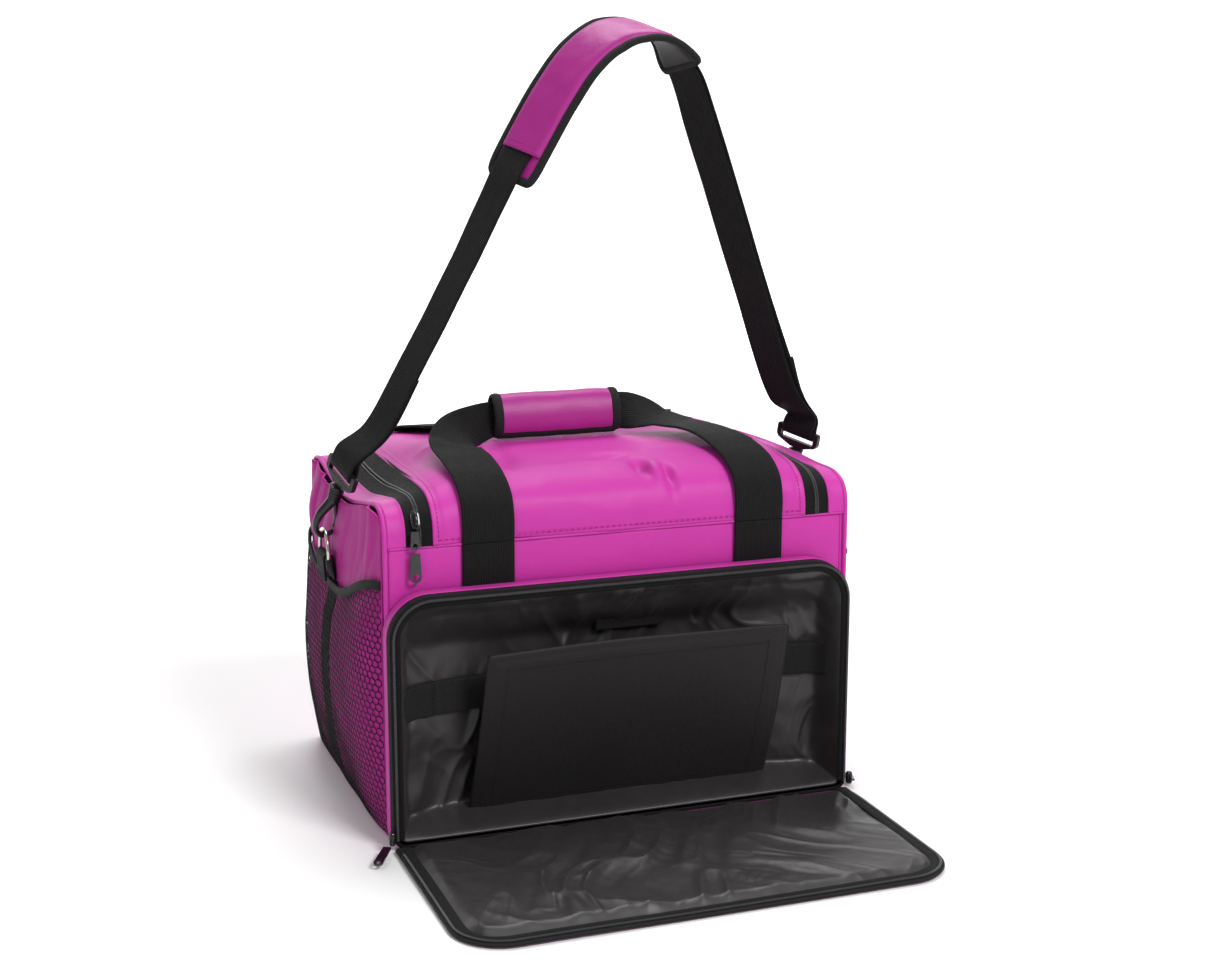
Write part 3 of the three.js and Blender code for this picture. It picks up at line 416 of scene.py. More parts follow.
# ---- Materials -----------------------------------------------------------------------------
class Nodes:
    """A node tree under construction, with a Principled shader at its end."""

    def __init__(self, name, color, roughness, **sockets):
        self.material = bpy.data.materials.new(name)
        self.material.use_nodes = True
        self.tree = self.material.node_tree
        self.shader = self.tree.nodes["Principled BSDF"]
        self.shader.inputs["Base Color"].default_value = (*color, 1)
        self.shader.inputs["Roughness"].default_value = roughness
        for key, value in sockets.items():
            self.shader.inputs[key.replace("_", " ")].default_value = value

    def add(self, kind, inputs=None, **settings):
        node = self.tree.nodes.new(kind)
        for key, value in settings.items():
            setattr(node, key, value)
        for key, value in (inputs or {}).items():
            if isinstance(value, bpy.types.NodeSocket):
                self.tree.links.new(value, node.inputs[key])
            else:
                node.inputs[key].default_value = value
        return node

    def place(self, output):
        return self.add("ShaderNodeTexCoord").outputs[output]

    def noise(self, scale, detail=3, stretch=None):
        vector = self.place("Object")
        if stretch:
            vector = self.add("ShaderNodeMapping", {"Vector": vector, "Scale": stretch}).outputs[0]
        return self.add("ShaderNodeTexNoise", {"Vector": vector, "Scale": scale, "Detail": detail}).outputs["Fac"]

    def wave(self, scale, direction, distortion=0.0):
        inputs = {"Vector": self.place("UV"), "Scale": scale, "Distortion": distortion}
        return self.add("ShaderNodeTexWave", inputs, bands_direction=direction).outputs["Fac"]

    def math(self, operation, a, b=0.0):
        return self.add("ShaderNodeMath", {0: a, 1: b}, operation=operation).outputs[0]

    def ramp(self, value, low, high):
        return self.add("ShaderNodeMapRange", {"Value": value, "To Min": low, "To Max": high}).outputs[0]

    def color(self, value, dark, light):
        node = self.add("ShaderNodeMix", {"Factor": value}, data_type="RGBA")
        node.inputs[6].default_value = (*dark, 1)
        node.inputs[7].default_value = (*light, 1)
        self.tree.links.new(node.outputs[2], self.shader.inputs["Base Color"])

    def roughness(self, value, low, high):
        self.tree.links.new(self.ramp(value, low, high), self.shader.inputs["Roughness"])

    def bump(self, *layers):
        """Layers of (height, distance in metres, strength), the coarsest first."""
        normal = None
        for height, distance, strength in layers:
            inputs = {"Height": height, "Distance": distance, "Strength": strength}
            if normal is not None:
                inputs["Normal"] = normal
            normal = self.add("ShaderNodeBump", inputs).outputs[0]
        self.tree.links.new(normal, self.shader.inputs["Normal"])


def bands(pitch):
    """Wave scale for bands that far apart, in metres."""
    return 2 * math.pi / 20 / pitch


def floor_material():
    n = Nodes("floor", (0.95, 0.95, 0.95), 0.6)
    n.color(n.noise(3), (0.94, 0.94, 0.94), (0.96, 0.96, 0.96))
    return n.material


def coated_fabric(name, dark, light, rough=(0.40, 0.52), gloss=0.24):
    n = Nodes(name, light, 0.45, Specular_IOR_Level=gloss, Sheen_Weight=0.02, Sheen_Roughness=0.5)
    n.color(n.noise(9, 4), dark, light)
    n.roughness(n.noise(60, 3), *rough)
    weave = n.math("MULTIPLY", n.wave(bands(0.00085), "X"), n.wave(bands(0.00085), "Y"))
    n.bump((n.noise(26, 3), 0.004, 0.10), (n.noise(420, 2), 0.0006, 0.25), (weave, 0.0003, 0.16))
    return n.material


def satin_lining(name, dark, light, rough=(0.27, 0.38)):
    n = Nodes(name, light, 0.36, Specular_IOR_Level=0.62, Sheen_Weight=0.03, Sheen_Roughness=0.4)
    n.color(n.noise(14, 4), dark, light)
    n.roughness(n.noise(80, 3), *rough)
    weave = n.math("MULTIPLY", n.wave(bands(0.0011), "DIAGONAL"), n.wave(bands(0.0007), "X"))
    drawn = n.noise(30, 2, stretch=(1.0, 1.0, 0.5))
    n.bump((drawn, 0.010, 0.16), (n.noise(110, 2), 0.002, 0.10), (weave, 0.0003, 0.2))
    return n.material


def woven_webbing(name, color, rib=0.0036, cross=0.0011, cross_low=0.55):
    n = Nodes(name, color, 0.72, Specular_IOR_Level=0.16, Sheen_Weight=0.03, Sheen_Roughness=0.5)
    ribs = n.wave(bands(rib), "X")
    picks = n.wave(bands(cross), "Y", distortion=0.6)
    threads = n.math("MULTIPLY", ribs, n.ramp(picks, cross_low, 1.0))
    n.color(threads, tuple(c * 0.6 for c in color), tuple(c * 1.4 for c in color))
    n.roughness(n.noise(120, 3), 0.6, 0.82)
    n.bump((threads, 0.0007, 0.75), (n.noise(900, 2), 0.0003, 0.3))
    return n.material


def moulded_plastic(name, color, rough=(0.22, 0.36)):
    n = Nodes(name, color, 0.3, Specular_IOR_Level=0.5)
    n.color(n.noise(25), tuple(c * 0.8 for c in color), tuple(c * 1.15 for c in color))
    n.roughness(n.noise(220, 4), *rough)
    n.bump((n.noise(700, 2), 0.0002, 0.12))
    return n.material


def plated_metal(name, color, rough=(0.12, 0.28)):
    n = Nodes(name, color, 0.2, Metallic=1.0)
    n.color(n.noise(60, 4), tuple(c * 0.85 for c in color), color)
    n.roughness(n.noise(180, 5), *rough)
    n.bump((n.noise(500, 3), 0.0002, 0.1))
    return n.material


FUCHSIA = coated_fabric("fuchsia_fabric", (0.49, 0.030, 0.315), (0.55, 0.038, 0.35))
# Painted shade: a darker copy of the same fuchsia fabric for the two end panels, standing in for the shade that falls
# on the bag's ends.
FUCHSIA_END_PAINTED_SHADE = coated_fabric("fuchsia_end_painted_shade", (0.40, 0.020, 0.235), (0.46, 0.025, 0.27), (0.5, 0.6), 0.09)
# Painted shade: a deeper copy of the same fuchsia fabric for the grip and the shoulder pad, standing in for the shade
# that they lie in.
FUCHSIA_PAINTED_SHADE = coated_fabric("fuchsia_painted_shade_fabric", (0.31, 0.014, 0.195), (0.37, 0.018, 0.225),
                             (0.34, 0.44), 0.30)
FUCHSIA_THREAD = coated_fabric("fuchsia_thread", (0.34, 0.012, 0.19), (0.40, 0.016, 0.23), (0.6, 0.7))
LINING = satin_lining("black_satin_lining", (0.0185, 0.0155, 0.016), (0.028, 0.024, 0.025), (0.36, 0.50))
PANEL = coated_fabric("black_panel_fabric", (0.0085, 0.0072, 0.0074), (0.013, 0.011, 0.0115), (0.5, 0.62), 0.25)
WEBBING = woven_webbing("black_webbing", (0.0062, 0.0060, 0.0063), 0.0024, 0.0011)
TAPE = woven_webbing("zip_tape_weave", (0.005, 0.005, 0.0055), 0.0012, 0.0009)
BINDING = woven_webbing("binding_weave", (0.016, 0.016, 0.017), 0.0019, 0.0021, 0.0)
THREAD = woven_webbing("black_thread", (0.022, 0.022, 0.024), 0.0005, 0.0005)
PLASTIC = moulded_plastic("black_moulded_plastic", (0.010, 0.010, 0.011))
ENAMEL = moulded_plastic("slider_enamel", (0.014, 0.014, 0.015), (0.12, 0.22))
NICKEL = plated_metal("nickel_plate", (0.72, 0.68, 0.60))
GUNMETAL = plated_metal("dark_plate", (0.09, 0.09, 0.095), (0.2, 0.35))
COIL = moulded_plastic("zip_coil_nylon", (0.055, 0.055, 0.058), (0.3, 0.45))
MESH = woven_webbing("mesh_thread", (0.010, 0.009, 0.010), 0.0008, 0.0008)
BASE = coated_fabric("base_cloth", (0.012, 0.012, 0.013), (0.02, 0.02, 0.021), (0.5, 0.62))


def dress(obj, material, body, node):
    """Gives a piece its material if it has none and its body, and hides the CAD node that it stands for."""
    if not obj.data.materials:
        obj.data.materials.append(material)
    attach(obj, body)
    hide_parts(node)
    return obj


def paint(obj, material):
    obj.data.materials.clear()
    obj.data.materials.append(material)
    return obj


# ---- The bag's form, as in the frame, in millimetres -------------------------------------------
WEBBING_WIDTH, WEBBING_THICK = 50, 2.3
PANEL_THICK = 2 * MM
HALF_LENGTH, HALF_DEPTH, SEAM_HEIGHT = 229.0, 155.0, 277.0
TOP_RUN = 386.0
ZIP_X, ZIP_BACK_RUN, ZIP_CORNER, TAPE_WIDTH = 200.0, 309.0, 40.0, 13.6
MIDDLE = [(-156, 277), (-155, 296), (-148, 314), (-130, 328), (-90, 338), (-30, 344),
          (30, 345), (85, 340), (125, 330), (148, 314), (154, 296), (155, 277)]


def end_points(sag):
    return [(-155, 277), (-154, 292), (-147, 305), (-130, 312), (-90, 312 - sag * 0.35),
            (-30, 312 - sag), (30, 312 - sag), (85, 312 - sag * 0.45), (125, 311),
            (146, 306), (153, 292), (155, 277)]


def profile(points):
    flat = spline([(0, y, z) for y, z in points], 400)
    return np.linspace(0, 1, 400), flat[:, 1], flat[:, 2]


MIDDLE_CURVE = profile(MIDDLE)
END_CURVES = {"left": profile(end_points(15)), "right": profile(end_points(-3))}


def top_points(x, run):
    x, run = np.broadcast_arrays(np.asarray(x, float), np.asarray(run, float))
    share = np.clip(run / TOP_RUN, 0, 1)
    blend = smooth(np.abs(x), 150, HALF_LENGTH)
    out = []
    for k in (1, 2):
        mid, left, right = [np.interp(share, curve[0], curve[k])
                            for curve in (MIDDLE_CURVE, END_CURVES["left"], END_CURVES["right"])]
        out.append(mid + (np.where(x < 0, left, right) - mid) * blend)
    return np.stack([x, *out], -1)


def top_normals(x, run):
    run = np.clip(run, 1, TOP_RUN - 1)
    along = top_points(x, run + 1) - top_points(x, run - 1)
    across = top_points(np.asarray(x, float) + 1, run) - top_points(np.asarray(x, float) - 1, run)
    return unit(np.cross(across, along))


def on_top(x, run, lift):
    """Point over the top surface, in metres."""
    return (top_points(x, run) + top_normals(x, run) * np.asarray(lift, float)[..., None]) * MM


def end_height(name, y):
    _, ys, zs = END_CURVES[name]
    return np.interp(y, ys, zs)


def bulge(y, share):
    return (1 - (np.abs(y) / HALF_DEPTH) ** 4) * np.sin(math.pi * np.clip(share, 0, 1) ** 0.8)


def front_y(x, z):
    hollow = smooth((240 - z) / 60) * (1 - (np.abs(x) / HALF_LENGTH) ** 4)
    return -HALF_DEPTH + 22 * hollow


def patch(function, u_count, v_count):
    """Grid of points in metres from function(u, v) in millimetres, u and v from 0 to 1."""
    u, v = np.meshgrid(np.linspace(0, 1, u_count), np.linspace(0, 1, v_count))
    return function(u, v) * MM


def puff(points, amount, size, seed):
    """Moves a grid along its normals by soft noise, amount in millimetres."""
    noise = lattice_noise(points, size * MM, seed) + 0.5 * lattice_noise(points, size * MM / 2.1, seed + 5)
    return points + normals_of(points) * (noise * amount * MM)[..., None]


def dent(points, centre, radius, depth, stretch=(1, 1, 1)):
    gap = (points / MM - np.array(centre, float)) / np.array(stretch, float)
    fall = np.exp(-np.sum(gap ** 2, -1) / radius ** 2)
    return points - normals_of(points) * (fall * depth * MM)[..., None]


make_camera()
make_stage()


# ---- Body panels -------------------------------------------------------------------------------
SEAM_X = np.linspace(-229, 229, 150)


def level_line(y, z):
    """Line along the whole bag at that depth and height, in metres."""
    return np.stack([SEAM_X, np.full_like(SEAM_X, y), np.full_like(SEAM_X, z)], -1) * MM


def make_front():
    def surface(u, v):
        x = -HALF_LENGTH + 2 * HALF_LENGTH * u
        z = 1.5 + (SEAM_HEIGHT - 1.1) * v
        return np.stack([x, front_y(x, z) - 0.3, z], -1)
    points = patch(surface, 120, 60)
    above_pocket = smooth(points[..., 2], 0.19, 0.25)[..., None]
    points = points + (puff(points, 0.7, 60, 3) - points) * above_pocket
    panel = paint(shell("front", points, PANEL_THICK), FUCHSIA)
    roll = paint(tube("roll", level_line(-155.8, 276.8), 1.3 * MM, 8), FUCHSIA)
    dress(join("front_body_panel", panel, roll), FUCHSIA, "bag_body", "front_panel")


def make_back():
    def surface(u, v):
        x = HALF_LENGTH - 2 * HALF_LENGTH * u
        z = 1.5 + (SEAM_HEIGHT - 1.1) * v
        y = HALF_DEPTH + 1.5 * np.sin(math.pi * u) * np.sin(math.pi * v)
        return np.stack([x, y, z], -1)
    points = puff(patch(surface, 110, 60), 0.5, 70, 21)
    points[..., 1] = np.minimum(points[..., 1], 156.6 * MM)
    panel = paint(shell("back", points, PANEL_THICK), FUCHSIA)
    roll = paint(tube("roll", level_line(155.4, 276.8), 1.3 * MM, 8), FUCHSIA)
    thread = stitches(level_line(155.9, 271.5), (0, 1, 0), 3.0, 1.4, 0.7, FUCHSIA_THREAD)
    piece = join("back_body_panel", panel, roll, thread)
    dress(piece, FUCHSIA, "bag_body", "back_panel")


ENDS = {"left": (-1, 14.0), "right": (1, 6.0)}


def end_panel_x(name, y, z):
    side, depth = ENDS[name]
    return side * (HALF_LENGTH + 4 + depth * bulge(y, (z - 2.4) / 290))


def end_skin_x(name, y, z):
    """Visible end panel: it fills out to its pocket, below the pocket's rim."""
    side = ENDS[name][0]
    top = pocket_top(name, y)
    own = np.abs(end_panel_x(name, y, z))
    share = np.clip((z - 3) / (top - 3), 0, 1) * 0.93
    cover = np.abs(end_pocket_x(name, y, share)) - (3.4 if name == "left" else 4.6)
    return side * (own + np.maximum(cover - own, 0) * smooth((top + 4 - z) / 32))


def make_ends():
    for name, (side, _) in ENDS.items():
        def surface(u, v):
            y = (-152.5 + 305 * u) * -side
            top = end_height(name, y) - 1.5
            z = 3 + (top - 3) * v
            return np.stack([end_skin_x(name, y, z), y, z], -1)
        points = patch(surface, 90, 80)
        edge = 152.5 - np.abs(points[..., 1] / MM)
        keep = smooth(edge, 2, 30)
        upper = smooth(points[..., 2], 0.2, 0.27)
        fan = points + 0
        fan[..., 1] = fan[..., 1] + (fan[..., 2] - 0.2) * 0.55
        fold_size, fold_depth = (0.044, 5.4) if name == "left" else (0.062, 2.2)
        folds = crumple(fan * np.array([1, 1, 0.30]), fold_size, 31, 2, 0.45)
        points = points + normals_of(points) * ((folds - 0.75) * fold_depth * keep * upper * MM)[..., None]
        # The end panels take the darker fuchsia copy: painted shade.
        panel = paint(shell("end", points, PANEL_THICK), FUCHSIA_END_PAINTED_SHADE)
        _, ys, zs = END_CURVES[name]
        foot_line = [(155, 200), (155, 120), (155, 40), (154.5, 12), (151, 4), (143, 2.8), (80, 2.7)]
        outline = (list(zip(ys[::8], zs[::8])) + foot_line + [(0, 2.7)] + [(-y, z) for y, z in foot_line[::-1]])
        ring = np.array([(side * 231.7, y, z) for y, z in outline]) * MM
        ring = resample(np.vstack([ring, ring[:1]]), 321)[:-1]
        cord = paint(tube("cord", ring, 2.5 * MM, 12, True), FUCHSIA)
        centre = np.array([0, 0, 150 * MM])
        inner = ring + np.array([-side * 0.0048, 0, 0]) + (centre - ring) * np.array([0, 0.001, 0.001])
        flange = paint(tube("flange", inner, 1.0 * MM, 8, True), FUCHSIA)
        dress(panel, FUCHSIA, "bag_body", f"{name}_end_panel").name = f"{name}_end_side"
        piping = join(f"{name}_end_piping", cord, flange)
        dress(piping, FUCHSIA, "bag_body", f"{name}_piping")


def make_base():
    def surface(u, v):
        x = 230 - 460 * u
        y = -154 + 308 * v
        edge = np.minimum.reduce([230 - np.abs(x), 154 - np.abs(y)])
        return np.stack([x, y, 0.2 + 2.6 * np.exp(-edge / 4)], -1)
    points = patch(surface, 100, 70)
    piece = shell("base_cloth_panel", points, -1.6 * MM)
    piece.data.flip_normals()
    dress(piece, BASE, "bag_body", "base_panel")
    paint(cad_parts["base_board"], BASE)


# ---- Top: strips, zip and lid --------------------------------------------------------------------
def make_top():
    inner = ZIP_X + TAPE_WIDTH - 0.6
    for name, (side, _) in ENDS.items():
        def surface(u, v):
            x = side * (inner + (229.4 - inner) * (u if side > 0 else 1 - u))
            run = 0.4 + (TOP_RUN - 0.8) * v
            lift = 1.4 + 1.2 * np.exp(-(np.abs(np.abs(x) - inner)) / 1.6)
            return top_points(x, run) + top_normals(x, run) * lift[..., None]
        points = patch(surface, 16, 170)
        piece = shell(f"{name}_top_side", points, 1.9 * MM)
        dress(piece, FUCHSIA, "bag_body", f"{name}_top_strip")

    radius = ZIP_CORNER + TAPE_WIDTH - 0.4
    angle = np.linspace(0, math.pi / 2, 26)
    corner_x = 160 + radius * np.cos(angle)
    corner_run = ZIP_BACK_RUN - ZIP_CORNER + radius * np.sin(angle)
    xs = np.concatenate([-corner_x, np.linspace(-150, 150, 61), corner_x[::-1]])
    runs = np.concatenate([corner_run, np.full(61, ZIP_BACK_RUN - ZIP_CORNER + radius), corner_run[::-1]])
    v = np.linspace(0, 1, 40)[:, None]
    run = runs[None] + (TOP_RUN - 0.4 - runs[None]) * v
    x = np.broadcast_to(np.clip(xs, -inner, inner)[None], run.shape)
    lift = 1.4 + 1.2 * np.exp(-(run - runs[None]) / 1.6)
    points = puff(on_top(x, run, lift), 0.5, 50, 8)
    piece = shell("back_top_side", points, 1.9 * MM)
    dress(piece, FUCHSIA, "bag_body", "back_top_strip")


def zip_route(offset, lift):
    """Points along the lid's zip, that far outside its line, and the surface's normals."""
    corner = ZIP_BACK_RUN - ZIP_CORNER
    angle = np.linspace(math.pi, math.pi / 2, 24)
    x = np.concatenate([np.full(80, -ZIP_X), -160 + ZIP_CORNER * np.cos(angle)])
    run = np.concatenate([np.linspace(0.5, corner - 3, 80), corner + ZIP_CORNER * np.sin(angle)])
    nx = np.concatenate([np.full(80, -1.0), np.cos(angle)])
    nr = np.concatenate([np.zeros(80), np.sin(angle)])
    bridge = np.linspace(-150, 150, 60)
    x = np.concatenate([x, bridge, -x[::-1]])
    run2 = np.concatenate([run, np.full(60, ZIP_BACK_RUN), run[::-1]])
    nx = np.concatenate([nx, np.zeros(60), -nx[::-1]])
    nr = np.concatenate([nr, np.ones(60), nr[::-1]])
    px, pr = x + nx * offset, run2 + nr * offset
    return on_top(px, pr, np.full(len(px), float(lift))), top_normals(px, pr)


def make_top_zip():
    for name, low, high, body, node in (("outer", 0.35, TAPE_WIDTH + 1.4, "bag_body", "top_zip_tape_outer"),
                                        ("lid", -0.35, -TAPE_WIDTH - 1.4, "top_lid", "top_zip_tape_lid")):
        offsets = np.linspace(low, high, 9)
        rows = [zip_route(o, 0.3 + 0.5 * math.exp(-abs(o) / 2))[0] for o in offsets]
        points = np.stack(rows, 0)
        if name == "outer":
            points = points[::-1]
        tape = paint(shell("tape", points, 1.1 * MM), TAPE)
        route, normal = zip_route(math.copysign(1.15, low), 1.5)
        coil = teeth(route, normal, 1.9, 1.5)
        line, normal = zip_route(math.copysign(5.4, low), 0.75)
        thread = stitches(line, normal, 2.2)
        piece = join(f"top_zip_{name}_half", tape, coil, thread)
        dress(piece, TAPE, body, node)


def make_lid():
    half, end, corner = [size - TAPE_WIDTH + 0.4 for size in (ZIP_X, ZIP_BACK_RUN, ZIP_CORNER)]

    def surface(u, v):
        v = 1 - (1 - v) ** 1.25
        run = 0.6 + (end - 0.6) * v
        into = np.maximum(run - (end - corner), 0)
        here = half - corner + np.sqrt(np.maximum(corner ** 2 - into ** 2, 0.0))
        x = (-1 + 2 * u) * here
        edge = np.minimum(here - np.abs(x), end - run)
        lift = 1.5 + 1.2 * np.exp(-edge / 1.7) - 0.6 * np.exp(-((edge - 7) / 2.2) ** 2)
        return top_points(x, run) + top_normals(x, run) * lift[..., None]
    points = patch(surface, 190, 150)
    mm = points / MM
    keep = smooth(half - np.abs(mm[..., 0]), 4, 40)
    folds = crumple(points * np.array([0.55, 1.0, 1]), 0.10, 52, 3, 0.42)
    ends = smooth(np.abs(mm[..., 0]), 60, 180)
    points = points + normals_of(points) * ((folds - 0.8) * (1.2 + 2.2 * ends) * keep * MM)[..., None]
    for centre, radius, depth, stretch in (
            ((28, -120, 333), 11, 9.0, (0.8, 1.3, 4)), ((52, -136, 327), 9, 7.5, (0.6, 1.5, 4)),
            ((40, -129, 330), 8, -5.0, (0.7, 1.6, 4)), ((8, -96, 338), 10, 5.0, (1.6, 0.7, 4)),
            ((-96, -70, 340), 20, 5.0, (0.6, 1.9, 4)),
            ((-172, -30, 338), 22, 4.5, (0.7, 2.2, 4)), ((172, 0, 338), 20, 4.0, (0.7, 2.4, 4)),
            ((0, 60, 343), 60, 3.5, (2.0, 1.0, 4))):
        points = dent(points, centre, radius, depth, stretch)
    panel = paint(shell("panel", points, 1.8 * MM), FUCHSIA)
    threads = []
    line_run = np.linspace(3, end - corner, 90)
    for side in (-1, 1):
        row = on_top(np.full_like(line_run, side * (half - 5)), line_run, np.full_like(line_run, 1.9))
        threads.append(stitches(row, (0, 0, 1), 2.8, 1.5, 0.55, FUCHSIA_THREAD))
    x = np.linspace(-half + 4, half - 4, 120)
    front = on_top(x, np.full_like(x, 5.5), np.full_like(x, 1.7))
    threads.append(stitches(front, (0, -1, 0.1), 3.6, 2.2, 0.95, FUCHSIA_THREAD))
    piece = join("lid_panel", panel, *threads)
    dress(piece, FUCHSIA, "top_lid", "top_lid")


# ---- Handles -------------------------------------------------------------------------------------
GRIP = (-22.0, -15.0, 371.0)


def make_handles():
    sides = (("front", -1, [(157.6, 214), (157.6, 240), (157.9, 276.5)], 30, [(158.9, 222), (158.9, 270)]),
             ("back", 1, [(157.9, 6), (158.2, 140), (157.9, 276.5)], 60, [(159.3, 10), (159.5, 140), (159.2, 270)]))
    for name, x in (("left", -135), ("right", 137)):
        for face, out, heights, count, seam in sides:
            stations = [((x, out * y, z), (1, 0, 0), WEBBING_WIDTH) for y, z in heights]
            strip = ribbon("strip", stations, WEBBING_THICK, count)
            rows = [stitches(np.array([(x + dx, out * y, z) for y, z in seam]) * MM, (0, out, 0), 2.6, 1.4)
                    for dx in (-21.5, 21.5)]
            piece = join(f"{face}_{name}_webbing", paint(strip, WEBBING), *rows)
            dress(piece, WEBBING, "bag_body", f"{face}_webbing_{name}")

    stations = [
        ((137, -157.9, 277), (1, 0, 0), 50), ((137, -158.4, 298), (1, 0, 0), 50),
        ((137, -151.5, 318), (1, 0, 0), 50), ((136, -132, 333.5), (1, 0.03, 0), 50),
        ((131, -100, 345), (0.98, 0.16, 0.0), 50), ((120, -70, 352), (0.93, 0.34, -0.04), 50),
        ((103, -50, 356), (0.86, 0.5, -0.05), 50), ((82, -34, 361), (0.74, 0.62, 0.1), 48),
        ((62, -22, 366), (0.5, 0.55, 0.6), 43), ((44, -17, 368), (0.12, 0.3, 0.94), 37),
        ((0, -15, 369), (0, 0.24, 0.97), 32), ((-44, -15, 369), (0, 0.24, 0.97), 32),
        ((-88, -16, 366), (0, 0.28, 0.96), 35), ((-108, -18, 361), (-0.12, 0.36, 0.92), 40),
        ((-125, -26, 356), (-0.5, 0.55, 0.66), 46), ((-135, -44, 351), (-0.82, 0.5, 0.3), 49),
        ((-139, -68, 349.5), (-0.97, 0.2, 0.08), 50), ((-138, -100, 344.5), (-1, 0.04, 0), 50),
        ((-136, -132, 333.5), (-1, 0, 0), 50), ((-135, -151.5, 318), (-1, 0, 0), 50),
        ((-135, -158.4, 298), (-1, 0, 0), 50), ((-135, -157.9, 277), (-1, 0, 0), 50),
    ]
    strip = ribbon("front_handle_strip", stations, WEBBING_THICK, 260)
    dress(strip, WEBBING, "front_handle", "front_handle_webbing")

    def over(x, run, lift, a, b):
        forward = unit(np.cross(top_normals(x, run), np.array([1.0, 0, 0])))
        return (tuple(on_top(x, run, lift) / MM), tuple(np.array([a, 0, 0]) + forward * b), WEBBING_WIDTH)
    half = [(135, 385.5, 4.6, 1, 0), (135, 360, 5.2, 1, 0), (134, 335, 5.4, 1, -0.05), (128, 305, 5.6, 0.95, -0.3),
            (114, 278, 5.8, 0.8, -0.6), (92, 257, 6.2, 0.5, -0.87), (66, 247, 6.4, 0.2, -0.98)]
    rear = [over(*s) for s in half]
    rear += [over(x, 245, 6.4, 0, -1) for x in (20, -20, -60)]
    for x, run, lift, a, b in half[::-1]:
        share = min(max((135 - x) / 78, 0), 1)
        rear.append(over(-x - 40 * share, run, lift, -a, b))
    strip = ribbon("back_handle_strip", rear, WEBBING_THICK, 220)
    dress(strip, WEBBING, "back_handle", "back_handle_webbing")


def make_grip():
    up = unit(np.array([0, 0.24, 0.97]))
    out = np.array([0, -up[2], up[1]])
    centre = np.array(GRIP) - np.array([0, 0, 2.0])
    half = 61
    x = np.linspace(-half, half, 33)
    angle = np.radians(np.linspace(-76, 256, 44))
    tall = 19.5 - 0.6 * np.abs(x / half) ** 4
    wide = 10.5 + 1.0 * np.cos(x / 55)
    points = (centre[None, None] + np.array([1.0, 0, 0]) * x[:, None, None]
              + up * (np.sin(angle)[None, :, None] * tall[:, None, None])
              + out * (np.cos(angle)[None, :, None] * wide[:, None, None])) * MM
    points = puff(points, 0.45, 22, 61)
    # The grip's skin takes the deeper fuchsia copy: painted shade.
    skin = paint(shell("skin", points, 2.6 * MM), FUCHSIA_PAINTED_SHADE)
    section = circle(1.0, 12) * np.array([5.2, 2.6]) * MM
    normals = normals_of(points)
    edges = []
    for line in ((0,), (-1,), (slice(None), 0), (slice(None), -1)):
        path = resample(points[line] - normals[line] * 1.2 * MM, 90)
        edges.append(paint(sweep("edge", path, section, resample(normals[line], 90)), BINDING))
    piece = join("grip_wrap_padded", skin, *edges)
    dress(piece, FUCHSIA, "front_handle", "grip_wrap")


# ---- Front pocket ----------------------------------------------------------------------------------
POCKET_X, POCKET_HALF = -6.5, 228.5
POCKET_LOW, POCKET_HIGH, POCKET_FACE = 2.5, 236.0, -186.0


def pocket_ring(inset, count=400, closed=True):
    """(x, z) round the pocket, clockwise from the foot of the left side."""
    left, right = POCKET_X - POCKET_HALF, POCKET_X + POCKET_HALF
    low, high = 10.0, 38.0
    rows = []

    def arc(cx, cz, radius, start, steps):
        for a in np.radians(np.linspace(start, start - 90, steps)):
            rows.append((cx + (radius - inset) * math.cos(a), cz + (radius - inset) * math.sin(a)))
    if closed:
        arc(left + low, POCKET_LOW + low, low, 270, 8)
    else:
        rows.append((left + inset, POCKET_LOW + 8))
    arc(left + high, POCKET_HIGH - high, high, 180, 16)
    arc(right - high, POCKET_HIGH - high, high, 90, 16)
    if closed:
        arc(right - low, POCKET_LOW + low, low, 0, 8)
        rows.append(rows[0])
    else:
        rows.append((right - inset, POCKET_LOW + 8))
    path = resample(np.array(rows, float), count + (1 if closed else 0))
    return path[:-1] if closed else path


def edge_distance(u, v, width, height):
    return np.minimum(width / 2 * (1 - np.abs(u)), height / 2 * (1 - np.abs(v)))


def rounded(u, v, width, height, radius_low, radius_high):
    """Square (-1..1) onto a rectangle with rounded corners, as (x, z) about its centre."""
    x, z = u * width / 2, v * height / 2
    radius = np.where(v < 0, radius_low, radius_high)
    ax = np.clip((np.abs(x) - (width / 2 - radius)) / radius, 0, 1)
    az = np.clip((np.abs(z) - (height / 2 - radius)) / radius, 0, 1)
    bx = ax * np.sqrt(1 - az ** 2 / 2)
    bz = az * np.sqrt(1 - ax ** 2 / 2)
    return (np.where(ax > 0, np.sign(x) * (width / 2 - radius + radius * bx), x),
            np.where(az > 0, np.sign(z) * (height / 2 - radius + radius * bz), z))


def pocket_line(inset, count, y, closed=True):
    """Line round the pocket at that depth, in metres."""
    line = pocket_ring(inset, count, closed)
    return np.stack([line[:, 0], np.full(count, y), line[:, 1]], -1) * MM


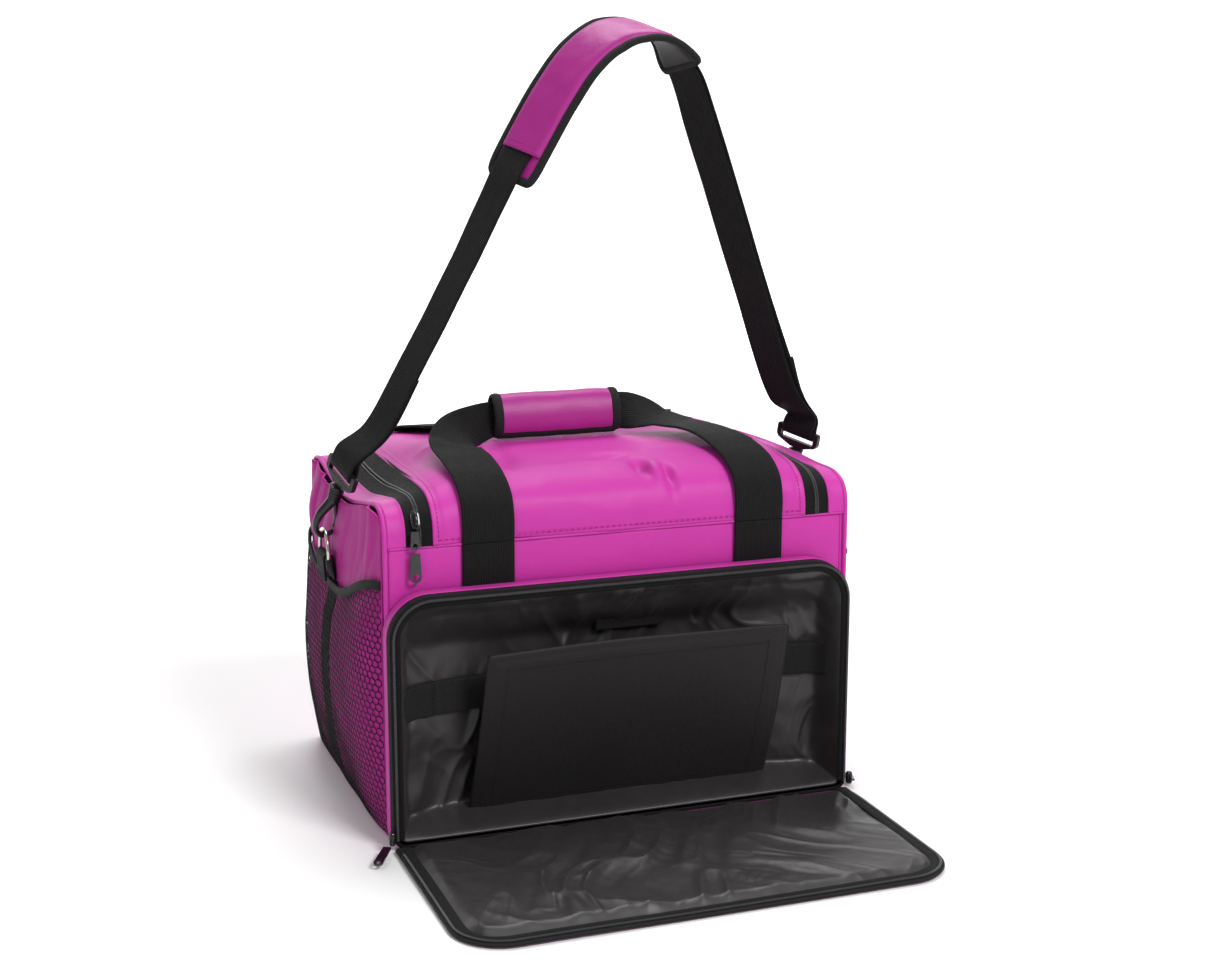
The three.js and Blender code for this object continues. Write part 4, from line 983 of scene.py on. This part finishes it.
def make_pocket():
    rows = [pocket_line(-0.8 * math.sin(math.pi * share), 360, -158.8 + (POCKET_FACE + 158.8) * share)
            for share in np.linspace(0, 1, 9)]
    grid = np.stack(rows, 1)
    grid = np.concatenate([grid, grid[:1]], 0)
    outer = paint(shell("outer", grid[::-1, :6], 1.6 * MM), FUCHSIA)
    weld(outer)
    cuff = grid[::-1, 4:] + 0
    cuff_side = paint(shell("cuff", cuff + normals_of(cuff) * 0.5 * MM, 1.9 * MM), TAPE)
    weld(cuff_side)
    rim = paint(tube("rim", pocket_line(0.6, 400, POCKET_FACE - 0.4), 1.5 * MM, 10, True), TAPE)
    piece = join("pocket_side_wall", outer, cuff_side, rim)
    dress(piece, FUCHSIA, "bag_body", "pocket_gusset")

    points = np.stack([pocket_line(inset, 420, POCKET_FACE - 1.9 + 1.4 * (inset / 8) ** 2, False)
                       for inset in np.linspace(0, 8.0, 8)], 0)
    tape = paint(shell("tape", points[::-1], 1.0 * MM), TAPE)
    coil = teeth(pocket_line(1.2, 500, POCKET_FACE - 2.7, False), (0, -1, 0), 2.5)
    thread = stitches(pocket_line(5.6, 500, POCKET_FACE - 2.0, False), (0, -1, 0))
    piece = join("pocket_zip_half", tape, coil, thread)
    dress(piece, TAPE, "bag_body", "pocket_zip_tape")

    u, v = np.meshgrid(np.linspace(-1, 1, 230), np.linspace(-1, 1, 130))
    width, height = 2 * POCKET_HALF - 9, POCKET_HIGH - POCKET_LOW - 9
    x, z = rounded(u, v, width, height, 8.0, 34.0)
    edge = edge_distance(u, v, width, height)
    top = height / 2 * (1 - v)
    px, pz = x + POCKET_X, z + (POCKET_HIGH + POCKET_LOW) / 2
    deep = smooth(edge, 0, 17) * (0.42 + 0.58 * smooth(top, 2, 55))
    y = POCKET_FACE + 0.6 + (front_y(px, pz) - 5.5 - POCKET_FACE) * deep
    points = np.stack([px, y, pz], -1) * MM
    amount = 5.2 * smooth(edge, 1, 12)
    mix = smooth(lattice_noise(points * np.array([1, 0, 1]), 0.10, 70), -0.4, 0.4)
    folds = (long_folds(points, 70, 0.020, 0.080, 71) * mix
             + long_folds(points, 122, 0.024, 0.080, 75) * (1 - mix))
    pull = lattice_noise(points * np.array([0.6, 0.0, 1.3]), 0.045, 77)
    near_seam = np.exp(-((edge - 12) / 6.0) ** 2)
    rumple = lattice_noise(points * np.array([1, 0.0, 0.6]), 0.016, 79) * near_seam * 0.55
    under_elastic = 1 - 0.75 * np.exp(-((pz - 130) / 17) ** 4)
    push = (folds * 0.95 + pull * 0.55 + rumple) * amount * under_elastic
    points = points + np.array([0, -1, 0]) * (push * MM)[..., None]
    points[..., 1] = np.minimum(points[..., 1], (front_y(px, pz) - 1.2) * MM)
    piece = shell("pocket_inner_lining", points, 0.8 * MM)
    dress(piece, LINING, "bag_body", "pocket_lining")


def make_organiser():
    u, v = np.meshgrid(np.linspace(-1, 1, 120), np.linspace(-1, 1, 80))
    x, t = rounded(u, v, 306, 172, 5.0, 5.0)
    share = t / 172 + 0.5
    edge = edge_distance(u, v, 306, 172)
    centre = np.stack([-3 + 11 * share, -146 - 37 * share - 5 * np.sin(math.pi * share),
                       7 + 173 * share - 3 * share * (x / 153) ** 2], -1)
    lean = unit(np.array([0, -0.97, -0.22]))
    crown = 2.4 * (1 - np.exp(-edge / 4)) - 0.9 * np.exp(-((edge - 7) / 1.6) ** 2)
    points = centre * MM + np.stack([x, 0 * x, 0 * x], -1) * MM + lean * (crown * MM)[..., None]
    points = points + lean * (lattice_noise(points, 0.09, 81) * 1.6 * MM)[..., None]
    panel = paint(shell("panel", points, 4.2 * MM), PANEL)
    rows = [points[8, 8:-8], points[-9, 8:-8], points[6:-6, 8], points[6:-6, -9]]
    threads = [stitches(resample(row, 100) + lean * 0.0004, lean, 2.4, 1.3) for row in rows]
    piece = join("organiser_padded_panel", panel, *threads)
    dress(piece, PANEL, "bag_body", "organiser_panel")

    def on_lining(x, z, off):
        return (x, float(front_y(x, z)) - 5.5 - off, z)
    upright = (0, 0, 1)
    stations = [((-229, -178, 130), upright, 31), ((-221, -166, 130), upright, 31)]
    stations += [(on_lining(x, 130.5, 3.4), upright, 32)
                 for x in (-207, -185, -150, -100, -50, 0, 50, 100, 150, 180, 200)]
    stations += [((209, -166, 131), upright, 31), ((216, -178, 131), upright, 31)]
    band = paint(ribbon("band", stations, 1.4, 150, 1.2, 5), BINDING)
    rows = [stitches(np.array([on_lining(x, z, 4.6) for z in (116, 145)]) * MM, (0, -1, 0), 2.2, 1.2, 0.6)
            for x in (-189.2, -186.8)]
    piece = join("elastic_loop_band", band, *rows)
    dress(piece, BINDING, "bag_body", "elastic_band")

    strip = ribbon("strip", [(on_lining(x, 184, 4.0), upright, 12) for x in (-25, -8, 8, 24, 41)], 1.8, 24)
    tufts = np.array([on_lining(-23 + 62 * i / 29, 179.6 + 8.8 * k / 4, 5.0) for i in range(30) for k in range(5)])
    fuzz = blocks("fuzz", tufts * MM, (0, -1, 0), (1, 0, 0), (1.2 * MM, 0.7 * MM, 0.7 * MM))
    piece = join("hook_and_loop_strip", paint(strip, PANEL), paint(fuzz, THREAD))
    dress(piece, PANEL, "bag_body", "hook_loop_strip")


# ---- Flap --------------------------------------------------------------------------------------------
FLAP_NEAR, FLAP_FAR = -190.0, -415.0


def flap_ring(inset, count=420):
    left, right, radius = POCKET_X - POCKET_HALF, POCKET_X + POCKET_HALF, 46.0
    rows = [(left + inset, FLAP_NEAR)]
    for middle, start in ((left + radius, 180), (right - radius, 270)):
        for a in np.radians(np.linspace(start, start + 90, 18)):
            rows.append((middle + (radius - inset) * math.cos(a), FLAP_FAR + radius + (radius - inset) * math.sin(a)))
    rows.append((right - inset, FLAP_NEAR))
    return resample(np.array(rows, float), count)


def flap_height(x, y):
    """Gentle waves of the flap lying on the floor, in millimetres."""
    p = np.stack([x, y, np.zeros_like(x)], -1) * MM
    wave = 1.1 + 1.1 * lattice_noise(p, 0.11, 91)
    return np.maximum(wave, 0.1) * smooth(-y, 196, 230) * 0.6


def flap_line(inset, lift, count=420):
    """Line round the flap at that height over its waves, in metres."""
    line = flap_ring(inset, count)
    return np.stack([line[:, 0], line[:, 1], lift + flap_height(line[:, 0], line[:, 1])], -1) * MM


def make_flap():
    u, v = np.meshgrid(np.linspace(-1, 1, 120), np.linspace(-1, 1, 66))
    width, height = 2 * POCKET_HALF, FLAP_NEAR - FLAP_FAR
    x, t = rounded(u, -v, width, height, 46.0, 2.0)
    px, py = x + POCKET_X, t + (FLAP_NEAR + FLAP_FAR) / 2
    edge = edge_distance(u, v, width, height)
    points = np.stack([px, py, 0.3 + flap_height(px, py) + 0.8 * np.exp(-edge / 3)], -1) * MM
    piece = fix_outward(shell("flap_outer_panel", points[:, ::-1], -1.6 * MM))
    dress(piece, FUCHSIA, "front_flap", "flap_panel")

    u, v = np.meshgrid(np.linspace(-1, 1, 240), np.linspace(-1, 1, 130))
    width, height = 2 * POCKET_HALF - 15, FLAP_NEAR - FLAP_FAR - 8
    x, t = rounded(u, -v, width, height, 39.0, 2.0)
    px, py = x + POCKET_X, t + (FLAP_NEAR + FLAP_FAR) / 2 + 3.5
    edge = edge_distance(u, v, width, height)
    flat = np.stack([px, py, np.zeros_like(px)], -1) * MM
    mix = smooth(lattice_noise(flat, 0.11, 90), -0.5, 0.5)
    folds = (long_folds(flat, 136, 0.021, 0.085, 95, 1) * mix
             + long_folds(flat, 60, 0.025, 0.080, 97, 1) * (1 - mix))
    swell = lattice_noise(flat, 0.075, 99)
    floor_height = 2.4 + flap_height(px, py)
    lift = floor_height + 0.1 + smooth(edge, 0, 14) * (6.2 + 3.6 * folds + 3.0 * swell)
    points = np.stack([px, py, np.maximum(lift, floor_height)], -1) * MM
    piece = fix_outward(shell("flap_inner_lining", points[::-1], 0.7 * MM))
    dress(piece, LINING, "front_flap", "flap_lining")

    points = np.stack([flap_line(inset, 3.4 + 0.8 * math.exp(-((inset - 6) / 4) ** 2))
                       for inset in np.linspace(-0.5, 12, 8)], 0)
    tape = paint(fix_outward(shell("tape", points[::-1], 1.0 * MM)), TAPE)
    coil = teeth(flap_line(1.6, 5.0, 600)[12:-12], (0, 0, 1), 2.6, 1.7)
    rim = paint(tube("rim", flap_line(-0.3, 2.2, 500), 1.9 * MM, 10), BINDING)
    thread = stitches(flap_line(9.0, 4.9, 500), (0, 0, 1))
    piece = join("flap_zip_half", tape, coil, rim, thread)
    dress(piece, TAPE, "front_flap", "flap_zip_tape")


# ---- Shoulder strap, rings and hooks -------------------------------------------------------
STRAP_WIDTH = 38.0
RINGS = {"left": (-253, 10, 262), "right": (249, 10, 262)}
AXES = {"left": (0.22, -0.36, 0.9), "right": (0.06, -0.2, 0.97)}
BARS = {"left": (0.25, -0.87, -0.42), "right": (0.48, -0.85, -0.22)}
INWARD = {"left": (1, 0, 0), "right": (-1, 0, 0)}


def strap_station(x, y, z, dx, dz, turn, width=STRAP_WIDTH):
    """Station of the strap: heading (dx, dz) across the bag, turned about its length."""
    length = math.hypot(dx, dz)
    turn = math.radians(turn)
    across = (dz / length * math.sin(turn), -math.cos(turn), -dx / length * math.sin(turn))
    return ((x, y, z), across, width)


def foot(name, reach, off=0.0):
    axis = unit(np.array(AXES[name], float))
    bar = unit(np.array(BARS[name], float) - axis * np.dot(BARS[name], axis))
    side = np.cross(axis, bar)
    place = np.array(RINGS[name], float) + axis * reach + side * off
    return (tuple(place), tuple(bar), STRAP_WIDTH)


LEFT_FREE_END = [(-176, -25, 417, 0.5, 0.87, 23), (-207, -21, 362, 0.5, 0.87, 24)]
LEFT_LEG = [(-207, -21, 362, 0.5, 0.87, 24), (-163, -27, 440, 0.5, 0.87, 23), (-122, -30, 515, 0.5, 0.87, 23),
            (-90, -31, 578, 0.5, 0.87, 26), (-76, -33, 607, 0.5, 0.87, 29), (-63, -32, 628, 0.52, 0.85, 30)]
RIGHT_FREE_END = [(218, -17, 412, 0.36, -0.93, -37), (234, -12, 370, 0.38, -0.93, -36)]
RIGHT_LEG = [(98, -30, 716, 0.6, -0.8, -16), (111, -30, 692, 0.38, -0.92, -25), (124, -30, 655, 0.35, -0.94, -30),
             (152, -29, 575, 0.34, -0.94, -31), (188, -24, 475, 0.36, -0.93, -31), (232, -12, 370, 0.38, -0.93, -32)]


def same_side(rows):
    """Keeps neighbouring across directions from pointing opposite ways."""
    out = [rows[0]]
    for place, across, width in rows[1:]:
        if np.dot(across, out[-1][1]) < 0:
            across = tuple(-np.array(across, float))
        out.append((place, across, width))
    return out


def hook_turn(name, free_end):
    """Free end sewn up the leg, down and round the hook's lower bar, then up to the leg."""
    side = np.cross(unit(np.array(AXES[name], float)), np.array(foot(name, 0)[1]))
    away = 1 if np.dot(side, (0, 1, 0)) > 0 else -1
    rows = [(tuple(np.array(place) + away * side * 2.7), across, width)
            for place, across, width in (strap_station(*s) for s in free_end)]
    rows += [foot(name, reach, away * off) for reach, off in (
        (88, 3.4), (78, 4.2), (70, 4.0), (66.2, 2.2), (65.4, 0), (66.2, -2.2), (70, -4.0), (78, -3.6), (88, -1.0))]
    return rows


def make_strap():
    left = same_side(hook_turn("left", LEFT_FREE_END) + [strap_station(*s) for s in LEFT_LEG])
    right = same_side([strap_station(*s) for s in RIGHT_LEG] + hook_turn("right", RIGHT_FREE_END)[::-1])
    doubled = [(tuple(np.array(p, float) + (4.4, 1.6, 0.7)), a, w) for p, a, w in right[:6]]
    for name, node, rows, count, waver, seed in (
            ("left_webbing", "left_leg", left, 200, 1.0, 3), ("right_webbing", "right_leg", right, 200, 0.8, 4),
            ("doubled_webbing", "right_return", doubled, 180, 0.5, 9)):
        leg = ribbon(f"strap_{name}", rows, 2.2, count, waver, seed)
        dress(leg, WEBBING, "shoulder_strap", f"strap_{node}")


PAD_ROUTE = [(-73, -30, 603, 0.5, 0.87, 29), (-52, -30, 640, 0.52, 0.85, 30), (-27, -30, 681, 0.58, 0.81, 30),
             (0, -30, 716, 0.72, 0.69, 29), (28, -30, 736, 0.9, 0.42, 27), (56, -30, 741, 1, 0.0, 18),
             (84, -30, 732, 0.85, -0.5, 4), (104, -30, 706, 0.5, -0.87, -18)]


def pad_frames(count):
    path, across, normal, _ = strip_frames(same_side([strap_station(*r, 66.0) for r in PAD_ROUTE]), count)
    return path, across, normal if normal[count // 2][2] >= 0 else -normal


def pad_surface(frames, half, trim, rise, soft, columns=27):
    """Upper face of one layer of the pad: it stops `trim` short of each end."""
    path, across, normal = frames
    place = np.linspace(0, 1, len(path))
    end = np.minimum(place, 1 - place) * PAD_LENGTH - trim
    keep = end >= 0
    path, across, normal, end = path[keep], across[keep], normal[keep], end[keep]
    share = np.linspace(-1, 1, columns)
    width = np.full_like(end, half)
    if not trim:
        round_end = np.sqrt(np.clip(1 - (1 - end / PAD_CORNER) ** 2, 0, 1))
        width = half * np.where(end < PAD_CORNER, 0.84 + 0.16 * round_end, 1.0)
    edge = (1 - np.abs(share))[None, :] * width[:, None]
    if not trim:
        edge = np.minimum(edge, end[:, None])
    lift = rise * (1 - np.exp(-edge / soft)) + 0.4
    flat = path[:, None] + across[:, None] * (share[None, :, None] * width[:, None, None])
    return flat, flat + normal[:, None] * lift[..., None], edge, (path, across, normal, width)


PAD_LENGTH, PAD_CORNER, PAD_HALF = 205.0, 14.0, 29.5


def make_pad():
    count = 110
    path, across, normal = pad_frames(count)
    path = path + across * 3.0
    frames = (path, across, normal)
    flat, upper, edge, (_, _, _, width) = pad_surface(frames, PAD_HALF, 0, 1.8, 3.0)
    base = cloth_body("base", upper * MM, (flat - normal[:, None] * 0.2) * MM)
    # The pad's faces take the deeper fuchsia copy: painted shade.
    paint(fix_outward(base), FUCHSIA_PAINTED_SHADE)

    flat, sleeve, inner, (mid, side, off, _) = pad_surface(frames, PAD_HALF - 3.2, 19.0, 3.6, 3.2)
    sleeve = (sleeve + off[:, None] * 2.4) * MM
    wave = lattice_noise(sleeve, 0.03, 41) * 0.7 + lattice_noise(sleeve, 0.012, 42) * 0.3
    sleeve = sleeve + off[:, None] * (wave * smooth(inner, 2, 10) * MM)[..., None]
    cover = cloth_body("cover", sleeve, (flat + off[:, None] * 1.6) * MM)
    paint(fix_outward(cover), FUCHSIA_PAINTED_SHADE)
    threads = []
    for row in (3, len(mid) - 4):
        line = mid[row] + side[row] * np.linspace(-0.86, 0.86, 40)[:, None] * (PAD_HALF - 4)
        threads.append(stitches((line + off[row] * 6.6) * MM, off[row], 2.8, 1.4, 0.8, FUCHSIA_THREAD))

    border = np.concatenate([upper[:, 0], upper[-1, 1:], upper[::-1, -1][1:], upper[0, ::-1][1:-1]]) * MM
    columns = upper.shape[1]
    lift = np.concatenate([normal, np.repeat(normal[-1:], columns - 1, 0), normal[::-1][1:],
                           np.repeat(normal[:1], columns - 2, 0)])
    looped = np.vstack([border, border[:1]])
    run = length_to(looped)
    even = np.linspace(0, run[-1], 361)[:-1]
    ring = read_at(even, run, looped)
    ups = unit(read_at(even, run, np.vstack([lift, lift[:1]])))
    section = circle(1.0, 14) * np.array([4.4, 3.6]) * MM
    binding = paint(sweep("edge", ring - ups * 0.2 * MM, section, ups, True), BINDING)
    piece = join("shoulder_pad", base, cover, binding, *threads)
    dress(piece, FUCHSIA_PAINTED_SHADE, "shoulder_strap", "strap_pad")

    share = np.linspace(-1, 1, columns)
    top = path[:, None] + across[:, None] * (share[None, :, None] * width[:, None, None] * 0.97) - normal[:, None] * 0.6
    low = top - normal[:, None] * (3.0 * (1 - np.exp(-edge / 4.0)))[..., None]
    under = cloth_body("low", top * MM, (low - normal[:, None] * 0.3) * MM)
    paint(fix_outward(under), PANEL)
    row = count - 26
    along = unit(path[row + 1] - path[row - 1])
    corners = [path[row] + across[row] * a * 17 + along * b * 9 - normal[row] * 4.1
               for a, b in ((-1, -1), (1, -1), (1, 1), (-1, 1))]
    threads = [stitches(np.linspace(a, b, 20) * MM, -normal[row], width=0.6)
               for a, b in zip(corners, corners[1:] + corners[:1])]
    piece = join("shoulder_pad_underside", under, *threads)
    dress(piece, PANEL, "shoulder_strap", "strap_pad_lining")


def make_end_hardware():
    for name, (side, _) in ENDS.items():
        rows = [((float(end_skin_x(name, 10.0, z)) + side * 1.2, 10, z), (0, 1, 0), 38)
                for z in (8.0, 25.0, 40.0, 60.0, 80.0, 100.0, 120.0, 140.0, 160.0, 175.0, 190.0, 202.0, 213.0)]
        stripe = paint(ribbon("stripe", rows, 2.2, 90), WEBBING)
        edges = []
        for y in (-6.5, 26.5):
            line = [(float(end_skin_x(name, 10.0, z)) + side * 2.3, y, z) for z in np.linspace(12, 209, 40)]
            edges.append(stitches(np.array(line) * MM, (side, 0, 0), 2.6, 1.4))
        piece = join(f"{name}_end_stripe", stripe, *edges)
        dress(piece, WEBBING, "bag_body", f"{name}_end_webbing")

        ring_x = abs(RINGS[name][0])
        over_bar = [(3.9 * math.cos(a), 236 + 3.9 * math.sin(a)) for a in (math.pi * i / 8 for i in range(9))]
        turn = [(2.6, 214.5), (3.4, 226), *over_bar, (-4.6, 226), (-6.4, 214.5)]
        tab = ribbon("tab", [((side * (ring_x + x), 10, z), (0, 1, 0), 34) for x, z in turn], 2.2, 60)
        paint(tab, WEBBING)
        lines = [stitches(np.array([(side * (ring_x + 4.4), y, z) for y in (-4, 24)]) * MM, (side, 0, 0), width=0.6)
                 for z in (217.5, 225.5)]
        piece = join(f"{name}_ring_loop", tab, *lines)
        dress(piece, WEBBING, "bag_body", f"{name}_ring_tab")

        bar, top = 236.0, 262.0
        rows = [(y, bar) for y in np.linspace(-8, 28, 9)] + [(30, bar + 2.0)]
        for a in np.linspace(0.12, math.pi - 0.12, 22):
            rows.append((10 + 20 * math.cos(a), bar + 5 + (top - bar - 5) * math.sin(a) ** 0.9))
        rows.append((-10, bar + 2.0))
        ring = resample(np.array([(side * ring_x, y, z) for y, z in rows + rows[:1]]) * MM, 121)[:-1]
        wire = fix_outward(tube(f"{name}_dee_ring", ring, 2.0 * MM, 14, True))
        dress(wire, NICKEL, f"{name}_ring", f"{name}_d_ring")


def carry_cad():
    """Hook frames and zip pulls keep their own solids, with rounded edges and a moulded finish."""
    finish = {"left_hook_frame": PLASTIC, "right_hook_frame": PLASTIC, "top_pull_link": GUNMETAL,
              "top_pull_ring": ENAMEL, "left_pocket_pull": GUNMETAL, "right_pocket_pull": GUNMETAL}
    for name, material in finish.items():
        bevel = paint(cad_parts[name], material).modifiers.new("edge", "BEVEL")
        bevel.width = 0.0006 if "hook" in name else 0.00045
        bevel.segments = 3
        bevel.limit_method = "ANGLE"
        bevel.angle_limit = math.radians(34)
        bevel.harden_normals = False


def make_hooks():
    for name in RINGS:
        z = unit(np.array(AXES[name], float))
        x = np.array(INWARD[name], float)
        x = unit(x - z * np.dot(x, z))
        origin = np.array(RINGS[name], float)

        def at(points):
            return np.array([origin + x * a + z * b for a, b in points]) * MM
        bow = [(0, 37), (-3.4, 29), (-8.2, 18), (-9.6, 7), (-7, -2.4), (-0.5, -6.7), (6, -4.2), (8.4, 1.4)]
        spine = spline(at(bow), 70)
        sizes = np.interp(np.linspace(0, 1, 70), [0, 0.15, 0.4, 0.65, 0.9, 0.97, 1],
                          [2.0, 1.75, 1.4, 1.05, 0.95, 0.8, 0.35])
        shank = paint(tube("shank", spine, 2.9 * MM, 16, False, sizes), PLASTIC)
        levels, radii = [], []
        for k in range(6):
            low = 33 + k * 3.1
            grow = 6.0 + 1.9 * k / 5
            levels += [low, low + 0.5, low + 1.9, low + 2.3]
            radii += [grow - 0.9, grow, grow, grow - 0.9]
        levels = [32.0, *levels, 52.2]
        radii = [2.5, *radii, 3.0]
        line = at([(0, v) for v in levels])
        barrel = paint(tube("barrel", line, 1.0 * MM, 24, False, radii, x), PLASTIC)
        piece = fix_outward(join(f"{name}_snap_hook", shank, barrel))
        dress(piece, PLASTIC, f"{name}_hook", f"{name}_hook")
        gate = spline(at([(8.5, 3.9), (9.2, 9), (8.0, 17), (5.0, 25), (3.4, 30.5)]), 34)
        sizes = np.interp(np.linspace(0, 1, 34), [0, 0.06, 0.5, 1], [0.5, 1.0, 1.15, 1.3])
        piece = fix_outward(tube(f"{name}_snap_gate", gate, 2.0 * MM, 14, False, sizes))
        dress(piece, PLASTIC, f"{name}_gate", f"{name}_hook_gate")


def pebble(centre, along, up, half):
    """Rounded enamelled block: half sizes along, across and up, in millimetres."""
    along = unit(np.array(along, float))
    up = unit(np.array(up, float) - along * np.dot(up, along))
    across = np.cross(up, along)
    rows, columns = 18, 28
    a = np.linspace(-math.pi / 2, math.pi / 2, rows)[1:-1]
    b = np.linspace(0, 2 * math.pi, columns, endpoint=False)

    def bent(v):
        return np.sign(v) * np.abs(v) ** 0.55
    ca, sa = bent(np.cos(a))[:, None], bent(np.sin(a))[:, None]
    centre = np.array(centre, float)
    body = (centre + along * (ca * bent(np.cos(b)) * half[0])[..., None]
            + across * (ca * bent(np.sin(b)) * half[1])[..., None]
            + up * (np.broadcast_to(sa, (rows - 2, columns)) * half[2])[..., None]) * MM
    return paint(fix_outward(add_object("plate", body, ring_faces(rows - 2, columns))), ENAMEL)


def make_sliders():
    seat = top_points(-ZIP_X, 26.0)
    off = top_normals(-ZIP_X, 26.0)
    along = unit(np.cross(off, (1.0, 0, 0)))
    if along[2] < 0:
        along = -along
    base = seat + off * 3.0 + np.array([-2.4, 0, 0])
    plate = pebble(base, along, off, (8.6, 4.8, 1.5))
    arch = [base + along * a + off * b for a, b in ((-5.5, 1.0), (-4.5, 3.8), (0, 4.8), (4.5, 3.6), (5.5, 1.0))]
    crown = paint(fix_outward(tube("crown", spline(arch, 30) * MM, 1.7 * MM, 12)), ENAMEL)
    piece = join("top_zip_slider_body", plate, crown)
    dress(piece, ENAMEL, "top_slider", "top_zip_slider")
    for name in ("left_pocket_slider", "right_pocket_slider"):
        low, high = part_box(name)
        centre = (np.array(low) + np.array(high)) / 2 / MM
        plate = pebble(centre, (0, 0, 1), (0, -1, 0), (6.6, 3.0, 3.2))
        arch = [centre + (0, y, z) for y, z in ((-2, -4), (-4.4, -2.5), (-4.4, 2.5), (-2, 4))]
        crown = paint(fix_outward(tube("crown", spline(arch, 24) * MM, 1.2 * MM, 10)), ENAMEL)
        piece = join(f"{name}_body", plate, crown)
        dress(piece, ENAMEL, name, name)


def end_pocket_x(name, y, share):
    deep = 19.0 if name == "left" else 9.5
    return ENDS[name][0] * (234.6 + (1 - (np.abs(y) / 155) ** 6) * (3.4 + deep * np.sin(math.pi * share * 0.92) ** 0.7))


def pocket_top(name, y):
    if name == "left":
        return 203 + 35 * smooth((-y - 10) / 145) ** 1.2 + 23 * smooth((y - 50) / 105)
    return 206 + 27 * smooth((np.abs(y) - 20) / 110)


def make_mesh_pocket():
    """Net of hexagonal cells, cut from one grid and stretched over the pocket's form."""
    cell = 6.8
    vertices, edges, index = [], [], {}

    def corner(a, b):
        key = (round(a, 3), round(b, 3))
        if key not in index:
            index[key] = len(vertices)
            vertices.append(key)
        return index[key]
    size = cell / math.sqrt(3)
    seen = set()
    for r in range(-1, 55):
        for c in range(-1, 60):
            cx = -152 + c * cell + (r % 2) * cell / 2
            cz = 3 + r * size * 1.5
            ring = [corner(cx + size * math.sin(a), cz + size * math.cos(a))
                    for a in (math.radians(60 * k) for k in range(6))]
            for pair in (tuple(sorted(ends)) for ends in zip(ring, ring[1:] + ring[:1])):
                if pair not in seen:
                    seen.add(pair)
                    edges.append(pair)
    flat = np.array(vertices)
    y = np.clip(flat[:, 0], -151.8, 151.8)
    limit = pocket_top("left", y)
    z = np.clip(flat[:, 1], 3.0, None)
    z = np.minimum(z, limit + 1.5)
    share = (z - 3) / (limit - 3) * 0.93
    x = end_pocket_x("left", y, np.clip(share, 0, 0.93))
    place = np.stack([x, y, z], -1) * MM
    place[:, 0] -= 0.0012 * (lattice_noise(place, 0.045, 64) * smooth(152 - np.abs(y), 0, 25))
    inside = (np.abs(flat[:, 0]) < 152.5) & (flat[:, 1] > 2) & (flat[:, 1] < limit + 3)
    strands = [(place[a], place[b]) for a, b in edges
               if inside[a] and inside[b] and np.linalg.norm(place[a] - place[b]) > 0.0006]
    net = strand_mesh("mesh_pocket_net", strands, 0.40 * MM)
    dress(net, MESH, "bag_body", "left_mesh_pocket")


def strand_mesh(name, strands, radius):
    """Square-section threads, one for each pair of points."""
    a = np.array([s[0] for s in strands])
    b = np.array([s[1] for s in strands])
    along = unit(b - a)
    up = np.broadcast_to(np.array([1.0, 0, 0]), along.shape)
    side = unit(np.cross(along, up))
    up = np.cross(side, along)
    a = a - along * radius * 0.5
    b = b + along * radius * 0.5
    corners = [(-1, -0.7), (1, -0.7), (1, 0.7), (-1, 0.7)]
    block = []
    for end in (a, b):
        for p, q in corners:
            block.append(end + side * p * radius + up * q * radius)
    vertices = np.stack(block, 1)
    faces = []
    for i in range(len(a)):
        faces += ring_faces(2, 4, base=i * 8)
    obj = add_object(name, vertices, faces)
    obj.data.polygons.foreach_set("use_smooth", [False] * len(obj.data.polygons))
    return fix_outward(obj)


def make_end_pockets():
    make_mesh_pocket()

    def slip(u, v):
        y = -151.6 + 303.2 * u
        top = pocket_top("right", y)
        z = 3 + (top - 3) * v
        return np.stack([end_pocket_x("right", y, v * 0.93), y, z], -1)
    points = puff(patch(slip, 90, 60), 0.7, 60, 47)
    panel = shell("slip_pocket_panel", points, 1.6 * MM)
    dress(panel, FUCHSIA, "bag_body", "right_slip_pocket")

    for name, tall in (("left", 9.0), ("right", 6.0)):
        side = ENDS[name][0]
        y = np.linspace(-151.8, 151.8, 160)
        top = pocket_top(name, y)
        x = end_pocket_x(name, y, 0.93)
        path = np.stack([x, y, top + 0.4 + tall / 2], -1) * MM
        round_band = circle(1.0, 16)
        section = np.sign(round_band) * np.abs(round_band) ** (0.5, 0.6) * np.array([1.5, tall / 2]) * MM
        band = paint(fix_outward(sweep("band", path, section, (0, 0, 1))), BINDING)
        line = np.stack([x + side * 1.6, y, top + 2.6], -1) * MM
        thread = stitches(line, (side, 0, 0))
        piece = join(f"{name}_pocket_edge", band, thread)
        node = "left_mesh_pocket_binding" if name == "left" else "right_slip_pocket_binding"
        dress(piece, BINDING, "bag_body", node)


make_front()
make_back()
make_ends()
make_base()
make_top()
make_top_zip()
make_lid()
make_handles()
make_grip()
make_pocket()
make_organiser()
make_flap()
make_end_pockets()
make_end_hardware()
make_strap()
make_pad()
make_hooks()
make_sliders()
carry_cad()
